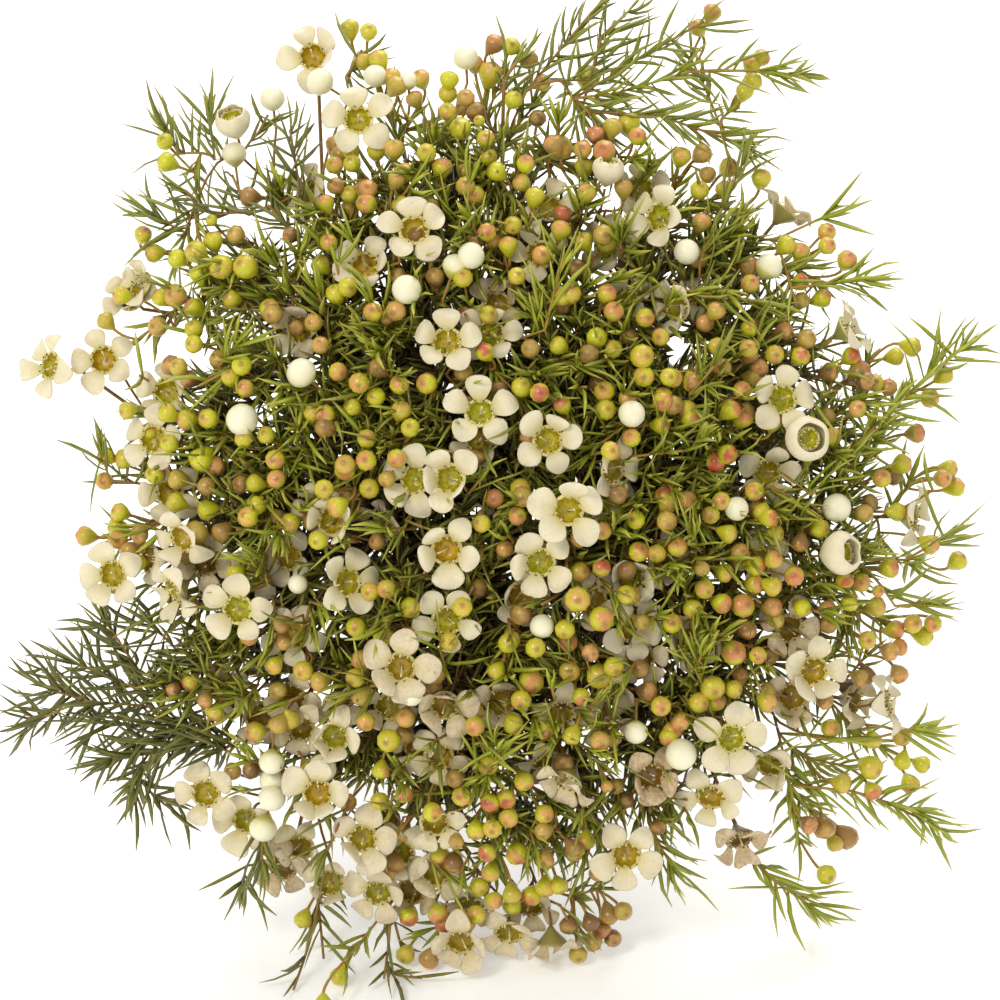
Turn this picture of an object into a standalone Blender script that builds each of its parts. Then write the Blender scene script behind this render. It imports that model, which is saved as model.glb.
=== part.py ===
# A cut, much-branched stem of waxflower, laid on its side.
# It is modelled upright along its own axis, z, and a parent empty then tips it over so that it
# lies on three low points: the cut end and two leafy twigs at the lower edge of the head.
# Millimetres are used throughout and scaled to metres where a mesh is made.

import bpy
import bmesh
import math
import random
import numpy as np
from mathutils import Matrix, Vector

mm = 0.001
airGap = 0.35                   # air between pieces that are separate solids

# How the stem lies
faceUp = math.radians(26)       # slope of its axis, head up
headHeight = 103.0              # middle of the head above the surface
layOver = math.pi / 2 - faceUp
floorNormal = np.array([0.0, math.cos(faceUp), math.sin(faceUp)])

# The head, seen along its axis: places are given as a picture point, x to the right and y down,
# with the middle at 500, 500, and as a depth below the dome that the flowers make
pictureSpan = 235.0             # width of 1000 picture points at the middle of the head
viewDistance = 900.0
domeHeight = 36.0
domeRadius = 105.0

# Woody stem
stemRadius = 3.3
stemTop = -84.0
stemWander = [(1.5, -1.0, -205), (-1.0, 1.0, -172), (1.0, 0.5, -140), (0, 0, -118), (0, 0, -100)]
stubRadius = 1.2                # where it leaves the stem's axis; it widens to the limb's radius
limbRadius = 2.0
limbStart = (6.4, 8.2)          # distance from the axis, rise above the height in the table
limbTaper = (1.0, 0.85, 0.7, 0.55)
limbRun = [(24, -66), (42, -43), (58, -25)]      # distance from the axis, height

# Flowers
cupRadius = 3.0
cupDepth = 3.4
petalThickness = 0.75
pedicel = 6.0                   # straight run of a flower's twig behind its cup

# Twigs
thinning = 0.46                 # radius of a twig against that of the one it leaves
leastRadius = 0.42
rootRadius = 0.12               # every twig and needle starts as a point inside its host
rootTaper = 1.5
rootRun = 6.0                   # a twig may touch its own spray this near to where it starts

# Buds and needles
budRadius = 2.3
budStalk = 4.4
budCrown = 1.5
budTail = [(3.4, budRadius), (5.2, 0.9)]
clusterDepth = 3.0              # a cluster's twig ends this far behind its middle
budSpacing = 2.0                # between the side buds along that twig
needleRadius = 0.42
needleLength = 17.0

sprays = {                      # name: middle angle round the axis, height where it leaves the stem
    "spray_right": (0, -116),
    "spray_upper_right": (45, -94),
    "spray_top": (90, -110),
    "spray_upper_left": (135, -88),
    "spray_left": (180, -118),
    "spray_lower_left": (225, -96),
    "spray_bottom": (270, -112),
    "spray_lower_right": (315, -90),
}
sectorWidth = 45

# Open flowers: picture point, depth, tilt away from the axis, the way it leans, width, lift of
# the petals. Those in the second list lie deep and are one piece with their spray.
openFlowers = [
    (313, 57, 3, 14, 110, 16, 12), (358, 120, 3, 12, 110, 17, 10), (51, 366, 1, 48, 170, 16, 5),
    (104, 360, 9, 14, 160, 16, 10), (154, 439, 7, 16, 175, 16, 12), (170, 492, 13, 18, 180, 16, 10),
    (183, 538, 4, 40, 215, 15, 8), (113, 574, 3, 18, 200, 16, 10), (176, 590, 5, 62, 215, 16, 14),
    (238, 609, 3, 12, 210, 16, 12), (347, 582, 7, 32, 10, 16, 12), (414, 230, 3, 12, 105, 16, 10),
    (365, 266, 10, 20, 110, 15, 12), (447, 342, 8, 18, 110, 16, 14), (660, 217, 4, 32, 170, 15.5, 12),
    (608, 246, 20, 30, 180, 15, 18), (626, 302, 27, 20, 180, 14.5, 14), (784, 212, 10, 95, 50, 14, 14),
    (847, 330, 5, 70, 30, 15, 14), (782, 399, 6, 14, 20, 16.5, 12), (804, 440, 0, 14, 20, 10.5, 55),
    (767, 473, 17, 20, 320, 16, 12), (789, 628, 12, 22, 330, 15, 12), (813, 671, 4, 14, 335, 17, 14),
    (912, 517, 8, 66, 0, 15, 12), (480, 413, 6, 24, 100, 16.5, 8), (548, 441, 5, 10, 60, 16.5, 8),
    (450, 479, 1, 12, 180, 16.5, 10), (415, 480, 9, 24, 190, 16, 8), (568, 510, 0, 8, 20, 17.4, 8),
    (540, 562, 7, 18, 270, 16.5, 8), (447, 550, 5, 10, 230, 17, 8), (612, 470, 8, 44, 350, 15, 14),
    (447, 620, 8, 16, 255, 15.5, 12), (401, 667, 1, 10, 240, 17.4, 10), (206, 793, 4, 14, 225, 16, 10),
    (247, 820, 10, 22, 240, 16, 12), (318, 793, 2, 12, 235, 16.5, 10), (335, 736, 8, 22, 230, 15.5, 12),
    (363, 838, 5, 14, 250, 16.5, 10), (400, 852, 13, 24, 262, 15.5, 12), (435, 822, 7, 24, 262, 15, 14),
    (626, 855, 3, 14, 290, 16.5, 10), (731, 738, 1, 12, 315, 17.4, 8), (770, 764, 7, 38, 240, 15, 14),
    (711, 796, 7, 34, 250, 16, 10), (740, 838, 9, 56, 290, 15, 16), (650, 776, 8, 22, 300, 14, 26),
    (461, 940, 6, 32, 265, 16, 12), (378, 892, 6, 26, 255, 15.5, 12), (235, 128, 3, 56, 105, 12, 46),
]
deepFlowers = [
    (167, 392, 13, 18, 160, 15, 12), (295, 634, 13, 16, 215, 15, 12), (677, 306, 9, 40, 200, 14, 16),
    (540, 255, 14, 18, 90, 15, 12), (490, 335, 12, 18, 90, 15, 12), (630, 578, 14, 20, 330, 15, 12),
    (633, 628, 15, 20, 320, 15, 12), (301, 727, 14, 20, 225, 15, 12), (283, 866, 17, 30, 240, 15, 12),
    (445, 705, 9, 22, 255, 15.5, 12), (439, 756, 12, 18, 260, 15, 12), (509, 932, 8, 40, 270, 15, 12),
    (552, 942, 7, 95, 275, 15, 14), (568, 780, 7, 62, 240, 15, 16), (560, 713, 14, 30, 300, 15, 12),
    (885, 703, 4, 72, 10, 15, 12), (332, 521, 8, 24, 190, 12, 46), (607, 176, 5, 60, 80, 12, 46),
    (141, 286, 9, 52, 150, 14, 20),
]

# Closed white flower buds: picture point, depth, width
whiteBuds = [
    (325, 85, 0, 6.6), (273, 104, 3, 6), (235, 160, 6, 6), (376, 81, 3, 5.6), (466, 62, 4, 6),
    (409, 287, 0, 6.8), (469, 257, 1, 6.2), (453, 272, 3, 6), (306, 377, 0, 7), (243, 419, 1, 7.4),
    (765, 272, 2, 6.4), (687, 252, 4, 6), (629, 416, 1, 6.2), (834, 506, 4, 6.8), (833, 554, 1, 8.2),
    (739, 509, 4, 5.6), (274, 795, 2, 6.4), (265, 822, 2, 6.6), (272, 756, 1, 6), (678, 753, 1, 7.4),
    (414, 691, 0, 5.6), (636, 727, 4, 5.6),
]

# Clusters of coloured buds: picture point, depth, how many
budClusters = [
    (150, 245, 3, 2), (216, 257, 0, 2), (187, 302, 1, 1), (262, 306, 2, 1),
    (346, 212, 4, 1), (172, 155, 3, 1), (262, 445, 3, 1), (195, 427, 2, 1), (104, 466, 3, 1),
    (118, 526, 4, 2), (352, 484, 5, 1), (275, 650, 4, 1), (360, 37, 2, 1), (442, 98, 2, 2),
    (500, 50, 2, 1), (590, 100, 3, 1), (630, 139, 2, 2), (522, 188, 3, 1),
    (462, 155, 2, 1), (500, 258, 3, 1), (583, 300, 4, 1), (738, 98, 3, 2), (704, 176, 3, 1), (830, 246, 2, 1), (673, 390, 4, 1),
    (745, 512, 4, 1), (872, 492, 3, 2), (868, 392, 2, 1), (915, 368, 3, 1), (943, 478, 2, 2),
    (915, 556, 4, 1), (850, 597, 2, 1), (712, 598, 3, 1), (912, 628, 2, 2), (505, 500, 4, 1),
    (597, 598, 3, 1), (352, 686, 4, 1), (490, 812, 3, 1), (553, 822, 3, 1), (700, 694, 3, 1),
    (445, 905, 3, 2), (594, 925, 3, 2), (886, 750, 3, 2), (824, 826, 2, 1),
]

# Leafy twigs: stem as picture points with depth, needle tips as picture points
leafyTwigs = [
    ([(215, 160, 5), (210, 120, 2)], [(213, 67), (237, 75), (197, 80)]),
    ([(179, 154, 6), (165, 130, 3)], [(157, 104), (177, 108), (132, 140), (126, 178)]),
    ([(259, 132, 5), (268, 115, 3)], [(273, 92), (300, 108), (245, 80)]),
    ([(185, 232, 6), (150, 215, 4)], [(121, 198), (120, 217), (137, 187), (127, 266)]),
    ([(346, 77, 5), (362, 50, 3)], [(335, 12), (360, 20), (390, 18), (402, 34)]),
    ([(504, 80, 4), (518, 60, 3)], [(528, 40), (442, 64)]),
    ([(526, 92, 4), (560, 50, 3), (592, 12, 2)], [(562, 9), (543, 24), (585, 0), (602, 4), (530, 58)]),
    ([(589, 80, 4), (602, 36, 3), (630, 10, 2)], [(660, 16), (654, 33), (638, 1), (625, 60)]),
    ([(572, 100, 5), (640, 58, 3), (703, 22, 1)], [(698, 10), (757, 29), (750, 18), (744, 51)]),
    ([(610, 95, 6), (690, 72, 3), (766, 70, 1)], [(815, 69), (830, 79), (813, 94), (779, 50), (773, 98)]),
    ([(590, 112, 7), (660, 116, 4), (735, 142, 2)], [(764, 132), (797, 143), (785, 175), (726, 104)]),
    ([(700, 262, 6), (726, 200, 4), (745, 158, 2)], [(736, 130), (780, 156), (776, 184), (707, 165)]),
    ([(800, 250, 9), (826, 216, 3)], [(833, 200), (860, 199), (841, 224), (806, 204)]),
    ([(790, 288, 5), (865, 280, 2)], [(900, 271), (908, 281), (871, 259), (870, 299)]),
    ([(811, 495, 6), (855, 446, 4), (910, 392, 2), (960, 350, 1)],
     [(998, 322), (964, 351), (960, 423), (940, 312), (968, 316), (889, 321), (911, 315)]),
    ([(851, 560, 10), (905, 560, 6), (944, 538, 1)], [(987, 500), (986, 535), (968, 574), (924, 451)]),
    ([(895, 606, 4), (925, 604, 2)], [(966, 601), (964, 612), (942, 617)]),
    ([(815, 738, 10), (868, 740, 5), (915, 728, 2)], [(959, 724), (958, 738), (954, 750), (921, 695)]),
    ([(790, 785, 17), (851, 791, 4), (918, 812, 2)], [(966, 828), (960, 845), (941, 776), (928, 842)]),
    ([(755, 862, 19), (780, 885, 6), (812, 907, 3)], [(862, 910), (856, 923), (728, 889), (811, 857)]),
    ([(650, 830, 8), (672, 866, 5)], [(690, 840), (709, 862), (702, 893), (672, 908)]),
    ([(560, 905, 6), (575, 935, 4)], [(559, 976), (594, 953), (610, 944)]),
    ([(390, 905, 10), (402, 950, 6)], [(372, 992), (399, 998), (440, 990)]),
    ([(246, 866, 16), (243, 886, 9)], [(223, 880), (243, 909), (268, 933)]),
    ([(150, 700, 10), (95, 702, 7), (50, 690, 5)],
     [(8, 757), (5, 733), (0, 683), (8, 660), (41, 651), (59, 733)]),
    ([(190, 735, 10), (135, 742, 8)], [(96, 772), (105, 786), (125, 821), (136, 851)]),
    ([(140, 672, 9), (108, 625, 6)], [(53, 629), (72, 621), (85, 609), (93, 584)]),
    ([(110, 480, 6), (102, 455, 4)], [(74, 448), (81, 484), (87, 410), (90, 517)]),
    ([(466, 215, 4), (470, 180, 0)], [(452, 150), (480, 148)]),
    ([(545, 330, 6), (562, 262, 0)], [(545, 225), (580, 232), (590, 262)]),
    ([(225, 372, 5), (200, 385, 1)], [(172, 408), (250, 345)]),
    ([(690, 450, 5), (700, 438, 1)], [(735, 432), (708, 412)]),
    ([(490, 772, 5), (500, 748, 1)], [(470, 750), (505, 728)]),
]
restingTwigs = [                # stem start with depth, picture point of the tip on the surface
    ((318, 928, 9), (330, 985)),
    ((770, 872, 9), (800, 952)),
]


def liftOff(point, clearance):
    """A point lower than the clearance is bent forward, along the axis, until it clears the surface."""
    height = headHeight + point @ floorNormal
    if height < clearance:
        point = point + np.array([0, 0, (clearance - height) / floorNormal[2]])
    return point


def place(x, y, depth, clearance=0.4):
    """Point of the head under a picture point, so far below the dome."""
    seen = np.array([x - 500, 500 - y]) * pictureSpan / 1000
    height = domeHeight * (1 - (seen @ seen) / domeRadius ** 2) - depth
    return liftOff(np.append(seen * (1 - height / viewDistance), height), clearance)


def onSurface(x, y):
    """Point of the surface that is seen at a picture point."""
    seen = np.array([x - 500, 500 - y]) * pictureSpan / 1000
    height = 0.0
    for _ in range(4):
        flat = seen * (1 - height / viewDistance)
        height = (-headHeight - flat[1] * floorNormal[1]) / floorNormal[2]
    return np.append(flat, height)


def leaning(tilt, lean):
    """Direction tilted away from the axis, towards a compass angle in the picture."""
    t, a = math.radians(tilt), math.radians(lean)
    return np.array([math.sin(t) * math.cos(a), math.sin(t) * math.sin(a), math.cos(t)])


def outwardAt(point, share=0.5):
    """Direction in which the head's surface faces at a point."""
    return leaning(share * np.linalg.norm(point[:2]), math.degrees(math.atan2(point[1], point[0])))


def unit(vector):
    return vector / max(np.linalg.norm(vector), 1e-9)


def segmentDistance(points, starts, ends):
    """Distance from each point to each straight piece."""
    along = ends - starts
    length2 = np.maximum((along ** 2).sum(1), 1e-9)
    t = np.clip(((points[:, None] - starts) * along).sum(2) / length2, 0, 1)
    return np.linalg.norm(points[:, None] - starts - t[..., None] * along, axis=2)


def sampled(points, step=1.0):
    """Points along a polyline, no more than a step apart."""
    runs = []
    for a, b in zip(points[:-1], points[1:]):
        count = max(2, int(np.linalg.norm(b - a) / step) + 1)
        runs.append(a + np.linspace(0, 1, count)[:, None] * (b - a))
    return np.concatenate(runs)


def bend(start, direction, end, fullness=0.4):
    """A twig's line: it leaves along its host's direction and curves over to its end."""
    reach = np.linalg.norm(end - start)
    turn = start + direction * reach * fullness
    count = 2 if reach < 45 else 3 if reach < 80 else 4
    t = np.linspace(0, 1, count)[:, None]
    return (1 - t) ** 2 * start + 2 * t * (1 - t) * turn + t ** 2 * end


class Flower:
    """One open flower: the centre of its cup, the way it faces and the room that it takes."""

    def __init__(self, x, y, depth, tilt, lean, width, lift, deep):
        self.facing = leaning(tilt, lean)
        flatness = math.sqrt(1 - (self.facing @ floorNormal) ** 2)
        self.width, self.lift, self.deep = width, math.radians(lift), deep
        self.centre = place(x, y, depth, width / 2 * flatness + 0.8)
        self.spread = cupRadius + (width / 2 - cupRadius) * math.cos(self.lift)
        self.rise = (width / 2 - cupRadius) * math.sin(self.lift) + petalThickness
        self.foot = self.centre - self.facing * (cupDepth - (0.6 if deep else -airGap))

    def distance(self, points):
        """Least distance from points to the petals' disc and to the cup's cone."""
        local = points - self.centre
        height = local @ self.facing
        across = np.linalg.norm(local - height[:, None] * self.facing, axis=1)
        over = np.maximum(np.maximum(height - self.rise, -0.8 - height), 0)
        disc = np.hypot(np.maximum(across - self.spread, 0), over)
        cone = np.maximum(across - cupRadius * np.clip(1 + height / cupDepth, 0.1, 1), 0)
        cone = np.hypot(cone, np.maximum(-cupDepth - height, 0) + np.maximum(height, 0))
        return min(disc.min(), cone.min())


class Growth:
    """What has grown so far: straight pieces with their radius and their spray."""

    def __init__(self, flowers):
        self.flowers = flowers
        self.starts, self.ends, self.radii, self.owners = [], [], [], []
        self.hosts = {name: [] for name in sprays}

    def isClear(self, line, radius, owner, own=None, apart=True):
        """True if a line keeps its air to all flowers and to what the other sprays have grown, and,
        where it should stay apart, to its own spray past the first few millimetres."""
        points = sampled(line)
        for flower in self.flowers:
            if flower is not own and flower.distance(points) < radius + airGap:
                return False
        if headHeight + (points @ floorNormal).min() < radius:
            return False
        air = segmentDistance(points, np.array(self.starts), np.array(self.ends)) - self.radii
        other = np.array(self.owners) != owner
        if other.any() and air[:, other].min() < radius + airGap:
            return False
        outer = np.linalg.norm(points - line[0], axis=1) > rootRun
        if apart and outer.any() and (~other).any():
            return air[outer][:, ~other].min() > radius
        return True

    def add(self, line, radius, owner):
        for a, b in zip(line[:-1], line[1:]):
            self.starts.append(a)
            self.ends.append(b)
            self.radii.append(radius)
            self.owners.append(owner)

    def addHost(self, line, radius, owner):
        """Later twigs of the spray may leave this one along its run."""
        for a, b in zip(line[:-1], line[1:]):
            way = unit(b - a)
            for t in np.linspace(0.15, 0.85, max(2, int(np.linalg.norm(b - a) / 4))):
                self.hosts[owner].append((a + t * (b - a), way, radius))

    def reach(self, tips, owner, own=None, budded=False, steepest=85):
        """Line from the best host to the given points that passes everything else clear, with
        room for a bud on its end where it is budded."""
        choices = []
        for point, way, hostRadius in self.hosts[owner]:
            run = tips[0] - point
            length = np.linalg.norm(run)
            turn = math.degrees(math.acos(np.clip(run @ way / max(length, 1e-6), -1, 1)))
            if length > 3 and turn < steepest:
                choices.append((length * (1 + (turn / 50) ** 2), len(choices), point, way, hostRadius))
        for apart, fullness in ((True, 0.2), (True, 0.0), (True, 0.5), (False, 0.2), (False, 0.0)):
            for _, _, point, way, hostRadius in sorted(choices):
                line = np.concatenate([bend(point, way, tips[0], fullness), tips[1:]])
                radius = max(hostRadius * thinning, leastRadius)
                bud = line[-1] + unit(line[-1] - line[-2]) * np.array([[budStalk * 0.4], [budStalk]])
                if (self.isClear(line, radius, owner, own, apart)
                        and (not budded or self.isClear(bud, budRadius, owner))):
                    return line, radius
        return None, 0


def mesh(name, bm):
    """A closed mesh from bmesh in millimetres, with its faces turned outwards."""
    bmesh.ops.recalc_face_normals(bm, faces=bm.faces)
    bmesh.ops.scale(bm, vec=(mm, mm, mm), verts=bm.verts)
    data = bpy.data.meshes.new(name)
    bm.to_mesh(data)
    bm.free()
    piece = bpy.data.objects.new(name, data)
    bpy.context.scene.collection.objects.link(piece)
    return piece


def aim(bm, base, direction, spin=0.0):
    """Turns a shape built along z to a direction and moves its origin to the base."""
    turn = Vector(direction).to_track_quat("Z", "Y").to_matrix().to_4x4()
    turn = turn @ Matrix.Rotation(spin, 4, "Z")
    bmesh.ops.transform(bm, matrix=Matrix.Translation(Vector(base)) @ turn, verts=bm.verts)


def tube(name, points, radii, section):
    """A twig or stem: a poly curve with the section as its bevel, its caps filled and welded."""
    curve = bpy.data.curves.new(name, "CURVE")
    curve.dimensions = "3D"
    curve.use_fill_caps = True
    curve.bevel_mode = "OBJECT"
    curve.bevel_object = section
    spline = curve.splines.new("POLY")
    spline.points.add(len(points) - 1)
    for knot, point, radius in zip(spline.points, points, radii):
        knot.co = (*(float(c) * mm for c in point), 1)
        knot.radius = radius
    guide = bpy.data.objects.new(name, curve)
    bpy.context.scene.collection.objects.link(guide)
    bpy.context.view_layer.update()
    graph = bpy.context.evaluated_depsgraph_get()
    data = bpy.data.meshes.new_from_object(guide.evaluated_get(graph))
    bpy.data.objects.remove(guide)
    bpy.data.curves.remove(curve)
    bm = bmesh.new()
    bm.from_mesh(data)
    bpy.data.meshes.remove(data)
    bmesh.ops.remove_doubles(bm, verts=bm.verts, dist=1e-6)
    bmesh.ops.scale(bm, vec=(1 / mm, 1 / mm, 1 / mm), verts=bm.verts)
    return mesh(name, bm)


def sectionCurve(sides):
    """A regular polygon of 1 mm radius, the section that the tubes scale."""
    curve = bpy.data.curves.new(f"section_{sides}", "CURVE")
    spline = curve.splines.new("POLY")
    spline.points.add(sides - 1)
    for i, knot in enumerate(spline.points):
        turn = math.tau * i / sides + math.pi / 2
        knot.co = (mm * math.cos(turn), mm * math.sin(turn), 0, 1)
    spline.use_cyclic_u = True
    guide = bpy.data.objects.new(f"section_{sides}", curve)
    guides.objects.link(guide)
    guide.hide_render = True
    guide.display_type = "WIRE"
    return guide


def flowerMesh(name, flower):
    """A top-shaped cup with a hollow crown, and a petal drawn out of each of its sides."""
    petals = 4 if flower.deep else 5
    bm = bmesh.new()
    bmesh.ops.create_cone(bm, cap_ends=True, segments=petals, radius1=cupRadius,
                          radius2=cupRadius, depth=petalThickness)
    bm.faces.ensure_lookup_table()
    crown = max(bm.faces, key=lambda f: f.calc_center_median().z)
    base = min(bm.faces, key=lambda f: f.calc_center_median().z)
    sides = [f for f in bm.faces if f not in (crown, base)]
    rim = cupRadius * math.cos(math.pi / petals)
    reach = flower.width / 2 - rim
    sections = [(0.55, 0.205 * flower.width), (1.0, 0.1 * flower.width)]
    if flower.deep:
        sections = [(0.9, 0.2 * flower.width)]
    for face in sides:
        middle = face.calc_center_median()
        outward = middle.xy.normalized().to_3d()
        across = Vector((-outward.y, outward.x, 0))
        for share, halfWidth in sections:
            face = bmesh.ops.extrude_discrete_faces(bm, faces=[face])["faces"][0]
            level = face.calc_center_median().z
            run = share * reach
            for vert in face.verts:
                side = math.copysign(halfWidth, vert.co.dot(across))
                upper = math.copysign(petalThickness / 2, vert.co.z - level)
                lift = run * math.sin(flower.lift) + upper * math.cos(flower.lift)
                out = rim + run * math.cos(flower.lift)
                vert.co = outward * (out - upper * math.sin(flower.lift)) + across * side
                vert.co.z = lift
    bmesh.ops.poke(bm, faces=[crown], offset=-1.3)
    bmesh.ops.poke(bm, faces=[base], offset=cupDepth - petalThickness / 2)
    aim(bm, flower.centre, flower.facing, flower.centre[0])
    return mesh(name, bm)


def budMesh(name, base, direction, radius, stalk):
    """A top-shaped bud on its stalk: a cone that widens to the belly and closes in a low crown."""
    bm = bmesh.new()
    bmesh.ops.create_cone(bm, cap_ends=True, segments=4, radius1=rootRadius, radius2=radius,
                          depth=stalk)
    bmesh.ops.translate(bm, vec=(0, 0, stalk / 2), verts=bm.verts)
    crown = max(bm.faces, key=lambda f: f.calc_center_median().z)
    bmesh.ops.poke(bm, faces=[crown], offset=budCrown * radius / budRadius)
    aim(bm, base, direction, base[0] + base[1])
    return mesh(name, bm)


def needleMesh(name, base, tip):
    """A three-sided needle that tapers to its point."""
    bm = bmesh.new()
    length = float(np.linalg.norm(tip - base)) - rootTaper
    bmesh.ops.create_cone(bm, cap_ends=True, segments=3, radius1=needleRadius, radius2=0,
                          depth=length)
    bmesh.ops.translate(bm, vec=(0, 0, rootTaper + length / 2), verts=bm.verts)
    root = min(bm.faces, key=lambda f: f.calc_center_median().z)
    bmesh.ops.poke(bm, faces=[root], offset=rootTaper)
    aim(bm, base, tip - base, length)
    return mesh(name, bm)


def fuse(name, pieces):
    """One union of the first piece with all the others."""
    base, repeats = pieces[0], pieces[1:]
    group = bpy.data.collections.new(name + "_repeats")
    bpy.context.scene.collection.children.link(group)
    for piece in repeats:
        bpy.context.scene.collection.objects.unlink(piece)
        group.objects.link(piece)
    union = base.modifiers.new("union", "BOOLEAN")
    union.operation = "UNION"
    union.operand_type = "COLLECTION"
    union.collection = group
    union.solver = unionSolver
    bpy.context.view_layer.update()
    graph = bpy.context.evaluated_depsgraph_get()
    data = bpy.data.meshes.new_from_object(base.evaluated_get(graph))
    fused = bpy.data.objects.new(name, data)
    for piece in pieces:
        bpy.data.objects.remove(piece)
    bpy.data.collections.remove(group)
    fused.name = name
    return fused


def material(name, color, roughness):
    finish = bpy.data.materials.new(name)
    finish.use_nodes = True
    shader = finish.node_tree.nodes["Principled BSDF"]
    shader.inputs["Base Color"].default_value = (*color, 1)
    shader.inputs["Roughness"].default_value = roughness
    shader.inputs["Metallic"].default_value = 0
    return finish


def keep(piece, finish):
    """A finished sub-part: it joins the model's collection and lies down with the rest."""
    for group in list(piece.users_collection):
        group.objects.unlink(piece)
    model.objects.link(piece)
    piece.data.materials.clear()
    piece.data.materials.append(finish)
    piece.parent = lying
    return piece


def sprayOf(point):
    """Name of the spray in whose sector a point lies."""
    angle = math.degrees(math.atan2(point[1], point[0])) % 360
    index = int(((angle + sectorWidth / 2) % 360) // sectorWidth)
    return list(sprays)[index]


def limbLine(name):
    """The spray's limb, which opens outwards."""
    angle, height = sprays[name]
    turn = math.radians(angle)
    run = [(limbStart[0], height + limbStart[1])] + limbRun
    return [np.array([r * math.cos(turn), r * math.sin(turn), z]) for r, z in run]


def stubLine(name):
    """The short stub of the stem that a limb goes on from, straight back to the stem's axis."""
    start, after = limbLine(name)[:2]
    direction = unit(after - start)
    return [start - direction * np.linalg.norm(start[:2]) / np.linalg.norm(direction[:2]),
            start - direction * airGap]


def growLimb(growth, name):
    line = limbLine(name)
    radii = [limbRadius * share for share in limbTaper]
    growth.add(line, limbRadius, name)
    growth.addHost(line, limbRadius, name)
    return tube(name, line, radii, hexagon)


def growTwig(growth, tips, name, own=None, tail=None):
    """A twig to the given points, or nothing where no clear way is found. Its tail, a bud or a
    needle, is part of the same tube: lengths past the tip with their radii."""
    line, radius = growth.reach(tips, name, own, budded=tail is not None)
    if line is None:
        return None, None
    growth.add(line, radius, name)
    growth.addHost(line, radius, name)
    way = unit(line[-1] - line[-2])
    points = [line[0], line[0] + unit(line[1] - line[0]) * rootTaper] + list(line[1:])
    endRadius = max(radius * 0.8, leastRadius)
    radii = [rootRadius, radius] + list(np.linspace(radius, endRadius, len(line) - 1))
    for length, tailRadius in tail or []:
        points.append(line[-1] + way * length)
        radii.append(tailRadius)
    return tube(name, points, radii, square), line


def growFlowerTwig(growth, flower, name):
    tips = np.array([flower.foot - flower.facing * pedicel, flower.foot])
    twig, _ = growTwig(growth, tips, name, flower)
    if twig is None:
        return []
    return [twig, flowerMesh(name, flower)] if flower.deep else [twig]


def growBud(growth, base, direction, radius, stalk, name):
    """A bud where it has room, or nothing."""
    tip = base + direction * (stalk + budCrown)
    if not growth.isClear(np.array([base + direction * stalk * 0.55, tip - direction]), radius, name):
        return []
    growth.add(np.array([base, tip]), radius, name)
    return [budMesh(name, base, direction, radius, stalk)]


def growCluster(growth, x, y, depth, count, name, rng):
    """A twig that ends in a bud, with more buds round it the way the head faces there."""
    middle = place(x, y, depth, 4)
    facing = outwardAt(middle)
    twig, line = growTwig(growth, np.array([middle - facing * clusterDepth]), name, tail=budTail)
    if twig is None:
        return []
    way = unit(line[-1] - line[-2])
    growth.add(np.array([line[-1], line[-1] + way * 4]), budRadius, name)
    pieces = [twig]
    side = unit(np.cross(facing, [0, 1, 0.2]))
    other = np.cross(facing, side)
    first = rng.uniform(0, math.tau)
    for i in range(1, count):
        turn = first + 2.4 * i
        direction = unit(facing + 1.1 * (math.cos(turn) * side + math.sin(turn) * other))
        pieces += growBud(growth, line[-1] - way * budSpacing * i, direction, budRadius, budStalk, name)
    return pieces


def growNeedle(growth, base, tip, name):
    """A needle where it has room, bent towards or away from the eye if that clears it."""
    for lift in (0, 3, -3, 6, -6, 9, -9):
        end = liftOff(tip + np.array([0, 0, lift]), 0.1)
        if growth.isClear(np.array([base, end]), needleRadius * 0.6, name):
            growth.add(np.array([base, end]), needleRadius, name)
            return [needleMesh(name, base, end)]
    return []


def growLeafyTwig(growth, run, tips, name):
    """A twig along the given run with a needle to each tip, from where it slants forward."""
    line = np.array([place(*stop, clearance=1.5) for stop in run])
    twig, line = growTwig(growth, line, name)
    if twig is None:
        return []
    pieces = [twig]
    outer = sampled(line[-len(run):], 2.0)[:-1]
    for x, y in tips:
        end = place(x, y, run[-1][2], 0.2)
        lengths = np.linalg.norm(end - outer, axis=1)
        base = outer[np.argmin(np.abs(lengths - needleLength))]
        pieces += growNeedle(growth, base, end, name)
    return pieces


def growRestingTwig(growth, start, tip, name):
    """A leafy twig whose end touches the surface."""
    touch = onSurface(*tip)
    line = np.array([place(*start, clearance=3), touch])
    way = unit(touch - line[0])
    line[1] = touch - way * 8
    twig, run = growTwig(growth, line, name)
    if twig is None:
        return []
    pieces = [twig, needleMesh(name, run[-1] - way, touch)]
    for x, y in ((tip[0] - 28, tip[1] - 12), (tip[0] + 28, tip[1] - 20)):
        pieces += growNeedle(growth, run[-2] * 0.3 + run[-1] * 0.7, place(x, y, 8, 0.2), name)
    return pieces


def woodyStem():
    """The cut stem with a stub for each spray; its foot touches the surface by its lower edge."""
    foot = -(headHeight - stemRadius * math.cos(faceUp)) / math.sin(faceUp)
    line = [(0, 0, foot)] + stemWander + [(0, 0, stemTop)]
    radii = np.linspace(stemRadius, stemRadius * 0.72, len(line))
    pieces = [tube("main_stem", line, radii, octagon)]
    for name in sprays:
        pieces.append(tube(name + "_stub", stubLine(name), [stubRadius, limbRadius], hexagon))
    return fuse("main_stem", pieces)


def centreFootprint():
    """Moves the whole stem so that its footprint is centred on the origin and it rests at z = 0."""
    bpy.context.view_layer.update()
    corners = np.array([piece.matrix_world @ v.co for piece in model.objects for v in piece.data.vertices])
    low, high = corners.min(0), corners.max(0)
    lying.location -= Vector(((low[0] + high[0]) / 2, (low[1] + high[1]) / 2, low[2]))


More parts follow.
